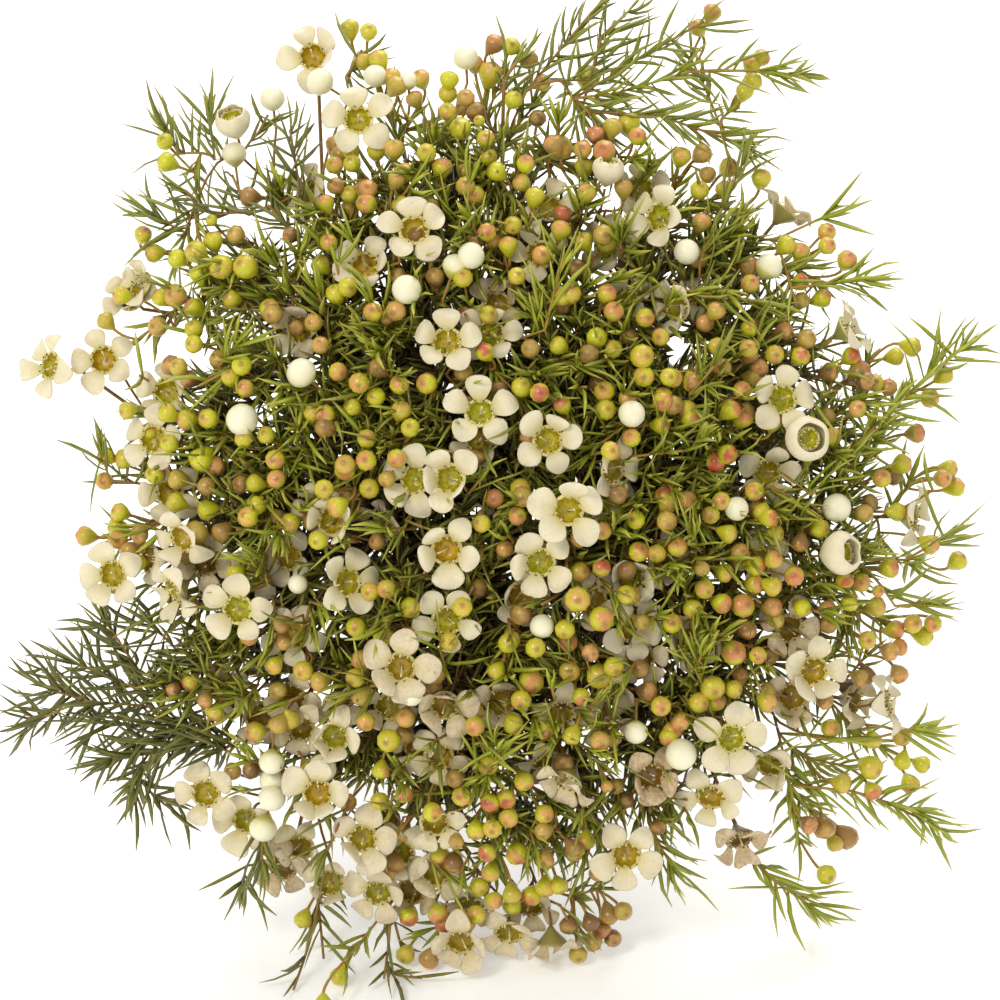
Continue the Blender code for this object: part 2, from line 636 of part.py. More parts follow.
for old in list(bpy.data.objects):
    bpy.data.objects.remove(old)
scene = bpy.context.scene
model = bpy.data.collections.new("waxflower_stem")
guides = bpy.data.collections.new("guides")
scene.collection.children.link(model)
scene.collection.children.link(guides)
lying = bpy.data.objects.new("lying", None)
scene.collection.objects.link(lying)
lying.rotation_euler = (layOver, 0, 0)
lying.location = (0, 0, headHeight * mm)

unionSolver = "EXACT"
square, hexagon, octagon = sectionCurve(4), sectionCurve(6), sectionCurve(8)
bark = material("brown bark", (0.33, 0.17, 0.07), 0.75)
leafGreen = material("grey-green needle", (0.13, 0.19, 0.06), 0.5)
petalWhite = material("cream petal", (0.86, 0.82, 0.70), 0.45)

rng = random.Random(12)
flowers = [Flower(*row, deep=False) for row in openFlowers]
flowers += [Flower(*row, deep=True) for row in deepFlowers]
growth = Growth(flowers)

for name in sprays:
    growth.add(stubLine(name), limbRadius * 1.25, "main_stem")
growth.add(np.array([[0, 0, -200.0], [0, 0, stemTop]]), stemRadius, "main_stem")
parts = {name: [growLimb(growth, name)] for name in sprays}

for flower in sorted(flowers, key=lambda f: f.foot[2] - 0.5 * np.linalg.norm(f.foot[:2])):
    name = sprayOf(flower.foot)
    parts[name] += growFlowerTwig(growth, flower, name)
for run, tips in leafyTwigs:
    name = sprayOf(place(*run[0]))
    parts[name] += growLeafyTwig(growth, run, tips, name)
for start, tip in restingTwigs:
    name = sprayOf(place(*start))
    parts[name] += growRestingTwig(growth, start, tip, name)
for x, y, depth, width in whiteBuds:
    centre = place(x, y, depth, 5)
    name = sprayOf(centre)
    facing = outwardAt(centre)
    twig, line = growTwig(growth, np.array([centre - facing * width]), name)
    if twig is not None:
        parts[name] += [twig] + growBud(growth, line[-1] - facing * 0.2, facing, width / 2, width, name)
for x, y, depth, count in budClusters:
    name = sprayOf(place(x, y, depth))
    parts[name] += growCluster(growth, x, y, depth, count, name, rng)

keep(woodyStem(), bark)
for name, pieces in parts.items():
    keep(fuse(name, pieces), leafGreen)
for i, flower in enumerate(flowers):
    if not flower.deep:
        keep(flowerMesh(f"bloom_{i + 1:02d}", flower), petalWhite)
centreFootprint()
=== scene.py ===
import math
import bpy
import numpy as np
from mathutils import Matrix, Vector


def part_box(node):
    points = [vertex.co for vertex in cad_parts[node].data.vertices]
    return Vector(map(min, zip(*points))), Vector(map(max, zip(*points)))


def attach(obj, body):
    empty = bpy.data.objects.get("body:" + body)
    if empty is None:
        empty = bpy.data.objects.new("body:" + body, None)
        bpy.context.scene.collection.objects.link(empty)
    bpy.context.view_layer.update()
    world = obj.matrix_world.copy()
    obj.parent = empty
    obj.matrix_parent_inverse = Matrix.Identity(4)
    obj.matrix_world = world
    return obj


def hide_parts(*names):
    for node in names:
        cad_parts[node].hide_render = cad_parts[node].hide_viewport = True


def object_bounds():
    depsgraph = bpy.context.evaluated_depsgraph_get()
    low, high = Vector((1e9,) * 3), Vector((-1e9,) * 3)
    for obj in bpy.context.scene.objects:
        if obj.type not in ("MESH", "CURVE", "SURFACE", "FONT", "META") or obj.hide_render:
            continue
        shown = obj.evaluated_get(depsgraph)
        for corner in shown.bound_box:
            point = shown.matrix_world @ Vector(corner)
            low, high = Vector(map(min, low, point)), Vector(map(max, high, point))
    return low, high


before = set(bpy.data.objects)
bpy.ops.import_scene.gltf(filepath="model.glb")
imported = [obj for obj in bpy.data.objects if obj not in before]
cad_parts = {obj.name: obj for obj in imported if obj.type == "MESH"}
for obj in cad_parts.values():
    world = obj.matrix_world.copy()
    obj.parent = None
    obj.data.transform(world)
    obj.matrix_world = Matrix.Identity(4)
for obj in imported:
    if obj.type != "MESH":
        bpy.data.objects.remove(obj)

cadBox = [list(corner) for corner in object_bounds()]
mm = 0.001
rng = np.random.default_rng(11)
goldenTurn = 2.39996                # radians from one spot of an even spiral to the next

# The head, seen along the stem's axis. Places are picture points of 1000 with the middle at 500,
# and a depth in mm below the dome that the flowers make; the rest is in mm from the head's middle.
head = {
    "faceUp": math.radians(26),     # slope of the stem's axis
    "height": 103.02,               # middle of the head above the surface
    "stemReach": 206.36,            # from the middle back to the far side of the cut end
    "pictureSpan": 235.0,           # width of the picture at the head's middle
    "viewDistance": 900.0,
    "domeHeight": 36.0,
    "domeRadius": 105.0,
}
toRight = np.array([1.0, 0.0, 0.0])
toTop = np.array([0.0, math.sin(head["faceUp"]), math.cos(head["faceUp"])])
toEye = np.array([0.0, -math.cos(head["faceUp"]), math.sin(head["faceUp"])])
stemLow, stemHigh = (np.array(corner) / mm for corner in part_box("main_stem"))
headMiddle = np.array([(stemLow[0] + stemHigh[0]) / 2, stemHigh[1] - head["stemReach"], head["height"]])
upOfFloor = np.array([0.0, toTop[2], toEye[2]])

sprays = {                          # middle angle round the axis, height where it leaves the stem
    "spray_right": (0, -116),
    "spray_upper_right": (45, -94),
    "spray_top": (90, -110),
    "spray_upper_left": (135, -88),
    "spray_left": (180, -118),
    "spray_lower_left": (225, -96),
    "spray_bottom": (270, -112),
    "spray_lower_right": (315, -90),
}

# Open flowers: picture point, depth, tilt away from the axis, the way it leans, width, lift of the
# petals. Each is a node of its own; those in the second list lie deep in their spray.
openFlowers = [
    (313, 57, 3, 14, 110, 16, 12), (358, 120, 3, 12, 110, 17, 10), (51, 366, 1, 48, 170, 16, 5),
    (104, 360, 9, 14, 160, 16, 10), (154, 439, 7, 16, 175, 16, 12), (170, 492, 13, 18, 180, 16, 10),
    (183, 538, 4, 40, 215, 15, 8), (113, 574, 3, 18, 200, 16, 10), (176, 590, 5, 62, 215, 16, 14),
    (238, 609, 3, 12, 210, 16, 12), (347, 582, 7, 32, 10, 16, 12), (414, 230, 3, 12, 105, 16, 10),
    (365, 266, 10, 20, 110, 15, 12), (447, 342, 8, 18, 110, 16, 14), (660, 217, 4, 32, 170, 15.5, 12),
    (608, 246, 20, 30, 180, 15, 18), (626, 302, 27, 20, 180, 14.5, 14), (784, 212, 10, 95, 50, 14, 14),
    (847, 330, 5, 70, 30, 15, 14), (782, 399, 6, 14, 20, 16.5, 12), (804, 440, 0, 14, 20, 10.5, 55),
    (767, 473, 17, 20, 320, 16, 12), (789, 628, 12, 22, 330, 15, 12), (813, 671, 4, 14, 335, 17, 14),
    (912, 517, 8, 66, 0, 15, 12), (480, 413, 6, 24, 100, 16.5, 8), (548, 441, 5, 10, 60, 16.5, 8),
    (450, 479, 1, 12, 180, 16.5, 10), (415, 480, 9, 24, 190, 16, 8), (568, 510, 0, 8, 20, 17.4, 8),
    (540, 562, 7, 18, 270, 16.5, 8), (447, 550, 5, 10, 230, 17, 8), (612, 470, 8, 44, 350, 15, 14),
    (447, 620, 8, 16, 255, 15.5, 12), (401, 667, 1, 10, 240, 17.4, 10), (206, 793, 4, 14, 225, 16, 10),
    (247, 820, 10, 22, 240, 16, 12), (318, 793, 2, 12, 235, 16.5, 10), (335, 736, 8, 22, 230, 15.5, 12),
    (363, 838, 5, 14, 250, 16.5, 10), (400, 852, 13, 24, 262, 15.5, 12), (435, 822, 7, 24, 262, 15, 14),
    (626, 855, 3, 14, 290, 16.5, 10), (731, 738, 1, 12, 315, 17.4, 8), (770, 764, 7, 38, 240, 15, 14),
    (711, 796, 7, 34, 250, 16, 10), (740, 838, 9, 56, 290, 15, 16), (650, 776, 8, 22, 300, 14, 26),
    (461, 940, 6, 32, 265, 16, 12), (378, 892, 6, 26, 255, 15.5, 12), (235, 128, 3, 50, 105, 8.6, 52),
]
deepFlowers = [
    (167, 392, 13, 18, 160, 15, 12), (295, 634, 13, 16, 215, 15, 12), (677, 306, 9, 40, 200, 14, 16),
    (540, 255, 14, 18, 90, 15, 12), (490, 335, 12, 18, 90, 15, 12), (630, 578, 14, 20, 330, 15, 12),
    (633, 628, 15, 20, 320, 15, 12), (301, 727, 14, 20, 225, 15, 12), (283, 866, 17, 30, 240, 15, 12),
    (445, 705, 9, 22, 255, 15.5, 12), (439, 756, 12, 18, 260, 15, 12), (509, 932, 8, 40, 270, 15, 12),
    (552, 942, 7, 95, 275, 15, 14), (568, 780, 7, 62, 240, 15, 16), (560, 713, 14, 30, 300, 15, 12),
    (885, 703, 4, 72, 10, 15, 12), (332, 521, 8, 24, 190, 14, 34), (607, 176, 5, 60, 80, 7.6, 64),
    (141, 286, 9, 52, 150, 14, 20), (833, 554, 2, 48, 8, 10.4, 58),
]
hiddenFlowers = [                   # picture point and depth of flowers that only show in part
    (226, 690, 13), (291, 697, 12), (338, 702, 14), (389, 707, 12), (259, 716, 15), (416, 748, 13),
    (385, 820, 14), (330, 882, 12), (412, 890, 13), (300, 846, 15), (611, 690, 13), (640, 658, 13),
    (792, 697, 9), (606, 722, 15), (548, 208, 12), (497, 304, 13), (309, 193, 11), (301, 330, 12),
    (131, 297, 8), (320, 507, 14), (252, 575, 13), (288, 556, 16), (500, 702, 13), (470, 902, 11),
    (530, 905, 12), (592, 600, 14), (690, 640, 13), (604, 500, 13), (520, 596, 14), (852, 700, 9),
    (205, 562, 11), (150, 558, 9), (385, 520, 17), (640, 190, 12), (700, 300, 13), (760, 560, 12),
    (436, 872, 10), (545, 760, 14), (660, 560, 14), (480, 440, 12),
]
firstPetal = {(450, 479): 38, (731, 738): 8, (711, 796): 190, (626, 855): 268, (358, 120): 100,
              (414, 230): 92, (365, 266): 355, (206, 793): 178, (318, 793): 11}
fadedFlowers = {(789, 628): 0.55, (283, 866): 0.6, (445, 705): 0.45, (650, 776): 0.75, (740, 838): 0.7,
                (770, 764): 0.3, (552, 942): 0.4, (568, 780): 0.35, (612, 470): 0.2, (784, 212): 0.3}

# Closed white flower buds: picture point, depth, width
whiteBuds = [
    (325, 85, 0, 6.6), (273, 104, 3, 6), (235, 160, 6, 6), (376, 81, 3, 5.6), (409, 85, 4, 4.4),
    (466, 62, 4, 6), (409, 287, 0, 6.8), (469, 257, 1, 6.2), (453, 272, 3, 6), (306, 377, 0, 7),
    (243, 419, 1, 7.4), (300, 582, 6, 4.6), (765, 272, 2, 6.4), (687, 252, 4, 6), (629, 416, 1, 6.2),
    (834, 506, 4, 6.8), (739, 509, 4, 5.6), (541, 624, 6, 5.6), (324, 765, 4, 6.6),
    (274, 795, 2, 6.4), (265, 822, 2, 6.6), (272, 756, 1, 6), (271, 778, 5, 6), (678, 753, 1, 7.4),
    (414, 691, 0, 5.6), (636, 727, 4, 5.6),
]

# Coloured buds by region. Ripeness goes from chartreuse to olive brown, and depth adds to it as painted
# shade; blush is the pink to orange of the crown.
buds = {
    "left": {"ripeness": 0.1, "blush": 0.4, "places": [
        (141, 240), (161, 252), (183, 262), (202, 257), (224, 271), (252, 271), (241, 238), (201, 281),
        (215, 248), (181, 298), (238, 300), (136, 301), (111, 326), (273, 314), (318, 323), (338, 300),
        (326, 270), (328, 210), (330, 248), (162, 299), (199, 312), (196, 335), (214, 223), (174, 165),
        (168, 145), (334, 370), (312, 418), (329, 411), (269, 438), (245, 443), (278, 459), (250, 391),
        (232, 383), (183, 370), (199, 345), (178, 418), (194, 420), (214, 420), (208, 453), (175, 447),
        (136, 409), (112, 459), (132, 459), (106, 479), (126, 514), (124, 527), (93, 537), (117, 538),
        (134, 548), (150, 563), (215, 509), (262, 485), (263, 504), (253, 519), (276, 479), (296, 520),
        (329, 489), (325, 537), (202, 534), (345, 468), (345, 503), (240, 569), (243, 367), (152, 435),
        (160, 475), (185, 481), (183, 505), (251, 415)]},
    "top": {"ripeness": 0.32, "blush": 0.5, "places": [
        (351, 36), (368, 37), (367, 67), (382, 67), (394, 85), (392, 92), (423, 85), (418, 105),
        (448, 87), (447, 99), (466, 103), (488, 83), (490, 50), (510, 49), (475, 70), (448, 117),
        (529, 64), (543, 87), (587, 86), (537, 122), (481, 123), (511, 105), (596, 141), (610, 135),
        (631, 132), (637, 138), (605, 161), (583, 153), (555, 154), (525, 170), (486, 144), (464, 135),
        (491, 163), (429, 156), (441, 175), (394, 156), (375, 154), (394, 186), (406, 177), (334, 153),
        (354, 157), (338, 168), (355, 168), (372, 206), (370, 192), (352, 199), (466, 190), (478, 194),
        (526, 187), (502, 176), (516, 229), (533, 204), (559, 220), (585, 199), (584, 174), (625, 187),
        (492, 245), (509, 253), (515, 279), (464, 282), (486, 230), (559, 237), (540, 257), (587, 248),
        (604, 248), (604, 299), (570, 300), (555, 299), (612, 317), (641, 317), (594, 337), (399, 308),
        (374, 315), (345, 288), (406, 209), (484, 317)]},
    "right": {"ripeness": 0.24, "blush": 0.62, "places": [
        (709, 19), (701, 33), (750, 72), (757, 62), (747, 86), (742, 98), (697, 158), (679, 163),
        (724, 172), (697, 195), (726, 196), (760, 185), (699, 229), (781, 250), (798, 258), (823, 235),
        (822, 248), (844, 266), (795, 285), (747, 288), (815, 301), (712, 316), (745, 331), (801, 343),
        (712, 346), (663, 337), (720, 366), (670, 379), (690, 376), (663, 402), (683, 405), (685, 420),
        (738, 393), (746, 377), (772, 354), (748, 352), (796, 361), (739, 423), (725, 415), (774, 427),
        (826, 437), (715, 463), (722, 452), (752, 489), (663, 500), (682, 497), (719, 500), (710, 512),
        (764, 507), (763, 519), (769, 533), (721, 531), (814, 529), (858, 511), (892, 512), (879, 482),
        (895, 468), (909, 434), (855, 412), (852, 377), (887, 392), (873, 385), (927, 394), (938, 379),
        (888, 358), (904, 345), (849, 358), (942, 468), (937, 479), (948, 489), (910, 541), (952, 565),
        (882, 569), (840, 582), (861, 582), (875, 592), (844, 605), (823, 610), (869, 608), (797, 604),
        (795, 577), (766, 607), (737, 606), (715, 601), (692, 605), (700, 586), (718, 570), (749, 583),
        (766, 583), (769, 563), (748, 564), (671, 623), (758, 652), (730, 655), (909, 624), (931, 620),
        (916, 634), (888, 631), (865, 639), (884, 649), (893, 649), (895, 669), (864, 669), (679, 550),
        (660, 550)]},
    "centre": {"ripeness": 0.14, "blush": 0.5, "places": [
        (431, 384), (400, 390), (380, 397), (360, 380), (357, 410), (399, 417), (412, 430), (364, 439),
        (368, 461), (347, 467), (403, 454), (370, 488), (489, 357), (519, 392), (538, 392), (565, 410),
        (598, 450), (520, 487), (514, 516), (486, 525), (496, 497), (602, 527), (639, 520), (662, 501),
        (635, 555), (598, 570), (575, 572), (577, 598), (598, 613), (625, 598), (566, 624), (565, 643),
        (506, 640), (464, 605), (409, 602), (373, 589), (390, 586), (358, 625), (384, 637), (445, 637),
        (606, 394), (603, 411), (625, 401), (630, 440), (654, 425), (663, 401), (636, 357), (644, 376),
        (610, 351), (593, 336), (564, 349), (666, 377), (534, 646), (253, 635), (278, 661), (307, 667)]},
    "bottom": {"ripeness": 0.2, "blush": 0.62, "places": [
        (326, 679), (218, 707), (288, 714), (262, 731), (195, 678), (306, 913), (346, 974), (329, 994),
        (434, 677), (366, 691), (360, 673), (366, 717), (392, 738), (409, 721), (382, 764), (377, 798),
        (402, 789), (431, 804), (464, 795), (493, 802), (508, 795), (511, 813), (476, 824), (493, 825),
        (490, 849), (516, 846), (541, 810), (521, 775), (546, 853), (549, 829), (586, 834), (573, 846),
        (472, 709), (479, 718), (510, 719), (540, 727), (522, 695), (528, 674), (500, 666), (568, 666),
        (596, 673), (578, 693), (611, 662), (575, 729), (597, 736), (606, 783), (670, 730), (491, 764),
        (348, 802), (390, 873), (437, 847), (492, 866), (489, 898), (479, 911), (463, 918), (445, 916),
        (437, 907), (410, 911), (511, 887), (546, 880), (557, 880), (537, 888), (476, 882), (515, 906),
        (409, 959), (433, 964), (454, 950), (710, 683), (727, 688), (693, 702), (710, 704), (681, 716),
        (671, 729), (659, 702), (849, 674), (835, 728), (871, 734), (864, 763), (904, 755), (916, 762),
        (907, 778), (898, 733), (835, 782), (869, 786), (762, 698)]},
    "olive": {"ripeness": 0.55, "blush": 0.25, "places": [
        (570, 919), (588, 917), (607, 907), (601, 922), (611, 933), (577, 947), (588, 938), (620, 907),
        (804, 821), (823, 820), (841, 831), (831, 837), (822, 871)]},
}
largeBuds = {(202, 257), (224, 271), (252, 271), (181, 298), (208, 453), (202, 534), (488, 83), (587, 86),
             (631, 132), (605, 161), (555, 154), (464, 135), (739, 423), (852, 377), (737, 606), (730, 655),
             (577, 598), (598, 613), (636, 357), (392, 738), (516, 846), (528, 674), (596, 673),
             (710, 683), (864, 763), (823, 820), (841, 831)}
smallBuds = {(214, 223), (481, 123), (875, 592), (606, 783)}
redBuds = {(715, 463), (722, 452), (306, 377), (745, 331)}

# Leafy shoots: stem as picture points with depth, then picture points of needle tips at its end.
# The last word is how fresh the green is.
leafyShoots = [
    ([(215, 160, 5), (210, 120, 2)], [(213, 67), (235, 73), (198, 80)], 0.35),
    ([(179, 154, 6), (165, 130, 3)], [(157, 104), (177, 112), (132, 140), (129, 176)], 0.35),
    ([(259, 132, 5), (268, 115, 3)], [(273, 95), (297, 110), (247, 80)], 0.3),
    ([(185, 232, 6), (150, 215, 4)], [(122, 199), (121, 215), (137, 187), (132, 256), (124, 266)], 0.3),
    ([(346, 77, 5), (362, 50, 3)], [(335, 12), (358, 20), (390, 18), (400, 33), (396, 46)], 0.4),
    ([(504, 80, 4), (518, 60, 3)], [(527, 42), (442, 64)], 0.4),
    ([(526, 92, 4), (560, 50, 3), (592, 12, 2)], [(562, 11), (543, 26), (584, 0), (598, 8)], 0.35),
    ([(589, 80, 4), (602, 36, 3), (630, 10, 2)], [(660, 16), (654, 33), (631, 51), (637, 1)], 0.4),
    ([(572, 100, 5), (640, 58, 3), (703, 22, 1)], [(698, 10), (755, 29), (750, 20), (744, 51)], 0.45),
    ([(610, 95, 6), (690, 72, 3), (766, 70, 1)],
     [(815, 69), (830, 79), (827, 90), (812, 94), (779, 50), (773, 95)], 0.7),
    ([(590, 112, 7), (660, 116, 4), (735, 142, 2)],
     [(762, 132), (795, 142), (785, 173), (715, 156), (723, 123), (726, 108)], 0.5),
    ([(700, 262, 6), (726, 200, 4), (745, 158, 2)],
     [(736, 134), (729, 154), (779, 156), (774, 182), (707, 165)], 0.5),
    ([(775, 240, 9), (826, 216, 3)], [(833, 200), (860, 199), (807, 204), (841, 223)], 0.8),
    ([(790, 288, 5), (865, 280, 2)], [(900, 271), (907, 279), (871, 260), (870, 298)], 0.8),
    ([(683, 290, 6), (760, 302, 3)], [(810, 317), (798, 322), (826, 312)], 0.7),
    ([(811, 495, 6), (855, 446, 4), (910, 392, 2), (960, 350, 1)],
     [(998, 323), (964, 351), (961, 371), (955, 396), (960, 423), (958, 339), (940, 314), (967, 316),
      (889, 321), (909, 317)], 0.75),
    ([(851, 560, 10), (905, 560, 6), (944, 538, 1)],
     [(987, 501), (985, 533), (968, 572), (959, 584), (924, 451), (921, 477)], 0.6),
    ([(895, 606, 4), (925, 604, 2)], [(965, 602), (964, 610), (942, 615)], 0.6),
    ([(815, 738, 10), (868, 740, 5), (915, 728, 2)],
     [(959, 724), (958, 736), (954, 748), (921, 696), (894, 682)], 0.8),
    ([(790, 785, 12), (851, 791, 4), (918, 812, 2)],
     [(966, 828), (959, 843), (941, 777), (928, 841), (878, 831), (861, 827)], 0.8),
    ([(755, 862, 12), (780, 885, 6), (812, 907, 3)],
     [(862, 910), (855, 892), (856, 922), (845, 882), (811, 858), (728, 889), (756, 911), (778, 938),
      (800, 952), (807, 959)], 0.85),
    ([(650, 830, 8), (672, 866, 5)],
     [(685, 836), (671, 847), (708, 861), (702, 892), (685, 897), (672, 907)], 0.55),
    ([(560, 905, 6), (575, 935, 4)], [(559, 975), (566, 965), (594, 951), (608, 942)], 0.5),
    ([(390, 905, 10), (402, 950, 6)], [(372, 990), (399, 998), (440, 990)], 0.1),
    ([(246, 866, 16), (243, 886, 9)], [(223, 880), (245, 907), (268, 931)], 0.2),
    ([(318, 900, 9), (325, 955, 8)], [(277, 996), (306, 980), (282, 953), (330, 985), (350, 975)], 0.2),
    ([(225, 750, 8), (150, 706, 10), (95, 702, 7), (50, 690, 5)],
     [(9, 757), (6, 734), (0, 683), (7, 666), (10, 657), (41, 651), (59, 733)], 0.02),
    ([(230, 752, 8), (190, 735, 10), (135, 742, 8)],
     [(96, 772), (105, 784), (125, 820), (136, 851), (172, 848), (190, 850)], 0.02),
    ([(180, 690, 9), (140, 672, 9), (108, 625, 6)], [(54, 629), (71, 622), (84, 610), (93, 584)], 0.02),
    ([(205, 722, 9), (150, 726, 10), (92, 722, 8)],
     [(48, 745), (40, 722), (70, 760), (30, 706), (110, 768)], 0.02),
    ([(200, 700, 9), (140, 690, 8), (78, 664, 6)], [(24, 655), (30, 640), (48, 628), (15, 672)], 0.02),
    ([(215, 668, 9), (175, 648, 8), (140, 612, 6)], [(100, 600), (118, 588), (132, 582), (104, 622)], 0.04),
    ([(220, 740, 12), (165, 752, 12), (110, 758, 10)], [(66, 770), (80, 782), (76, 756)], 0.02),
    ([(110, 480, 6), (102, 455, 4)],
     [(74, 448), (81, 482), (89, 497), (90, 515), (87, 410), (96, 424), (100, 432)], 0.3),
    ([(466, 215, 4), (470, 180, 0)], [(452, 150), (480, 148), (440, 172)], 0.7),
    ([(545, 330, 6), (562, 262, 0)], [(545, 225), (580, 232), (590, 262), (530, 262)], 1.0),
    ([(400, 262, 5), (394, 235, 0)], [(372, 215), (415, 205), (430, 240)], 0.7),
    ([(225, 372, 5), (200, 385, 1)], [(172, 408), (170, 380), (188, 412)], 0.9),
    ([(215, 372, 5), (235, 345, 1)], [(250, 325), (262, 345), (225, 322)], 0.9),
    ([(690, 395, 5), (715, 365, 1)], [(735, 345), (742, 362), (712, 338)], 0.6),
    ([(350, 800, 6), (326, 852, -1)], [(288, 846), (296, 886), (345, 905), (372, 878), (318, 905)], 0.12),
    ([(262, 815, 8), (262, 862, 1)], [(238, 900), (262, 908), (234, 878), (286, 892)], 0.12),
    ([(300, 190, 6), (290, 130, 4)], [(283, 92), (306, 100), (272, 118)], 0.12),
    ([(250, 215, 6), (232, 175, 4)], [(222, 136), (244, 138), (208, 160)], 0.12),
    ([(215, 215, 6), (185, 190, 4)], [(156, 176), (164, 158), (176, 210)], 0.14),
    ([(300, 240, 6), (268, 205, 4)], [(250, 176), (276, 170), (240, 200)], 0.12),
    ([(690, 450, 5), (700, 438, 1)], [(735, 432), (708, 412), (668, 430)], 0.7),
    ([(690, 545, 5), (695, 535, 1)], [(725, 540), (690, 508), (662, 530)], 0.7),
    ([(490, 772, 5), (500, 748, 1)], [(470, 750), (505, 728), (520, 740), (458, 772)], 0.9),
    ([(440, 650, 5), (442, 638, 1)], [(420, 615), (458, 612), (415, 640)], 0.7),
    ([(555, 700, 5), (552, 688, 1)], [(530, 670), (570, 662), (585, 690)], 0.8),
    ([(590, 710, 5), (596, 698, 1)], [(610, 672), (625, 700), (585, 672)], 0.8),
    ([(695, 668, 5), (702, 655, 1)], [(720, 630), (735, 655), (690, 632)], 0.8),
]


def liftOff(points, clearance):
    # height = headHeight + p . floorNormal; a point below the clearance slides out along the axis
    height = head["height"] + points @ upOfFloor
    lift = np.maximum(clearance - height, 0) / upOfFloor[2]
    return points + lift[..., None] * np.array([0, 0, 1.0])


def offFloor(base, toMiddle, clearance):
    # straight up, until the middle is above the floor by the clearance
    height = head["height"] + (base + toMiddle) @ upOfFloor
    return base + max(clearance - height, 0) * upOfFloor


def place(x, y, depth, clearance=0.5):
    # w = domeHeight (1 - (s / domeRadius)^2) - depth, (u, v) = s (1 - w / viewDistance)
    seen = np.stack([np.asarray(x) - 500.0, 500.0 - np.asarray(y)], -1) * head["pictureSpan"] / 1000
    w = head["domeHeight"] * (1 - (seen ** 2).sum(-1) / head["domeRadius"] ** 2) - depth
    flat = seen * (1 - w / head["viewDistance"])[..., None]
    return liftOff(np.concatenate([flat, w[..., None]], -1), clearance)


def seenAt(points):
    # picture point = 500 +- flat / (1 - w / viewDistance) / (pictureSpan / 1000)
    flat = points[..., :2] / (1 - points[..., 2:] / head["viewDistance"]) * 1000 / head["pictureSpan"]
    return np.stack([500 + flat[..., 0], 500 - flat[..., 1]], -1)


def leaning(tilt, lean):
    # (sin t cos a, sin t sin a, cos t)
    t, a = np.radians(tilt), np.radians(lean)
    return np.stack([np.sin(t) * np.cos(a), np.sin(t) * np.sin(a), np.cos(t) + 0 * a], -1)


def outwardAt(point):
    # turned outwards by half a degree for each mm from the axis
    lean = np.degrees(np.arctan2(point[..., 1], point[..., 0]))
    return leaning(0.5 * np.linalg.norm(point[..., :2], axis=-1), lean)


def unit(v):
    return v / np.maximum(np.linalg.norm(v, axis=-1, keepdims=True), 1e-9)


def curve(start, bendAt, end, count):
    # p(t) = (1 - t)^2 start + 2 t (1 - t) bend + t^2 end
    t = np.linspace(0, 1, count)[:, None]
    return (1 - t) ** 2 * start + 2 * t * (1 - t) * bendAt + t ** 2 * end


def spiralSpot(i, count, spread, wander, depths, clearance):
    # r = spread sqrt((i + 1/2) / count), a golden turn on from the last, at a random depth
    r = spread * math.sqrt((i + 0.5) / count)
    a = i * goldenTurn + rng.uniform(-wander, wander)
    w = head["domeHeight"] * (1 - r * r / head["domeRadius"] ** 2) - rng.uniform(*depths)
    return liftOff(np.array([r * math.cos(a), r * math.sin(a), w]), clearance)


def sprayOf(point):
    # each spray takes the eighth of the head round its own angle
    angle = math.degrees(math.atan2(point[1], point[0])) % 360
    return list(sprays)[int(((angle + 22.5) % 360) // 45)]


def toWorld(points):
    # world = middle + u right + v top + w eye, in metres
    return (headMiddle + points @ np.stack([toRight, toTop, toEye])) * mm


# Surfaces

def shellFaces(rings, sides):
    # quads between neighbouring rings, and a fan of triangles at either pole
    i, j = np.arange(rings - 1)[:, None], np.arange(sides)
    a, b = i * sides + j, i * sides + (j + 1) % sides
    quads = np.stack([a, b, b + sides, a + sides], -1).reshape(-1, 4)
    foot, last = rings * sides, (rings - 1) * sides
    low = np.stack([np.full(sides, foot), (j + 1) % sides, j], -1)
    high = np.stack([np.full(sides, foot + 1), last + j, last + (j + 1) % sides], -1)
    return quads, np.concatenate([low, high])


def sidesOf(direction, spin=0.0):
    # two unit vectors across a direction, turned round it by the spin
    helper = np.where(np.abs(direction[..., 2:]) < 0.8, [0.0, 0.0, 1.0], [1.0, 0.0, 0.0])
    side = unit(np.cross(helper, direction))
    other = np.cross(direction, side)
    c, s = np.cos(spin)[..., None], np.sin(spin)[..., None]
    return c * side + s * other, c * other - s * side


def tubes(lines, radii, sides, flatness=1.0, spin=None, tipRound=0.4):
    # p(k, i, a) = line(k, i) + r(k, i) (cos a side + flatness sin a other), closed by a pole at
    # each end; returns points of every tube and its faces
    count, rings = lines.shape[:2]
    tangent = unit(np.gradient(lines, axis=1))
    side, _ = sidesOf(unit(lines[:, -1] - lines[:, 0]), np.zeros(count) if spin is None else spin)
    side = unit(side[:, None] - (side[:, None] * tangent).sum(-1, keepdims=True) * tangent)
    other = np.cross(tangent, side)
    a = np.arange(sides) * math.tau / sides
    ring = np.cos(a)[:, None] * side[:, :, None] + flatness * np.sin(a)[:, None] * other[:, :, None]
    body = lines[:, :, None] + radii[:, :, None, None] * ring
    tip = lines[:, -1] + tangent[:, -1] * radii[:, -1:] * tipRound
    points = np.concatenate([body.reshape(count, -1, 3), lines[:, :1], tip[:, None]], 1)
    return points, shellFaces(rings, sides)


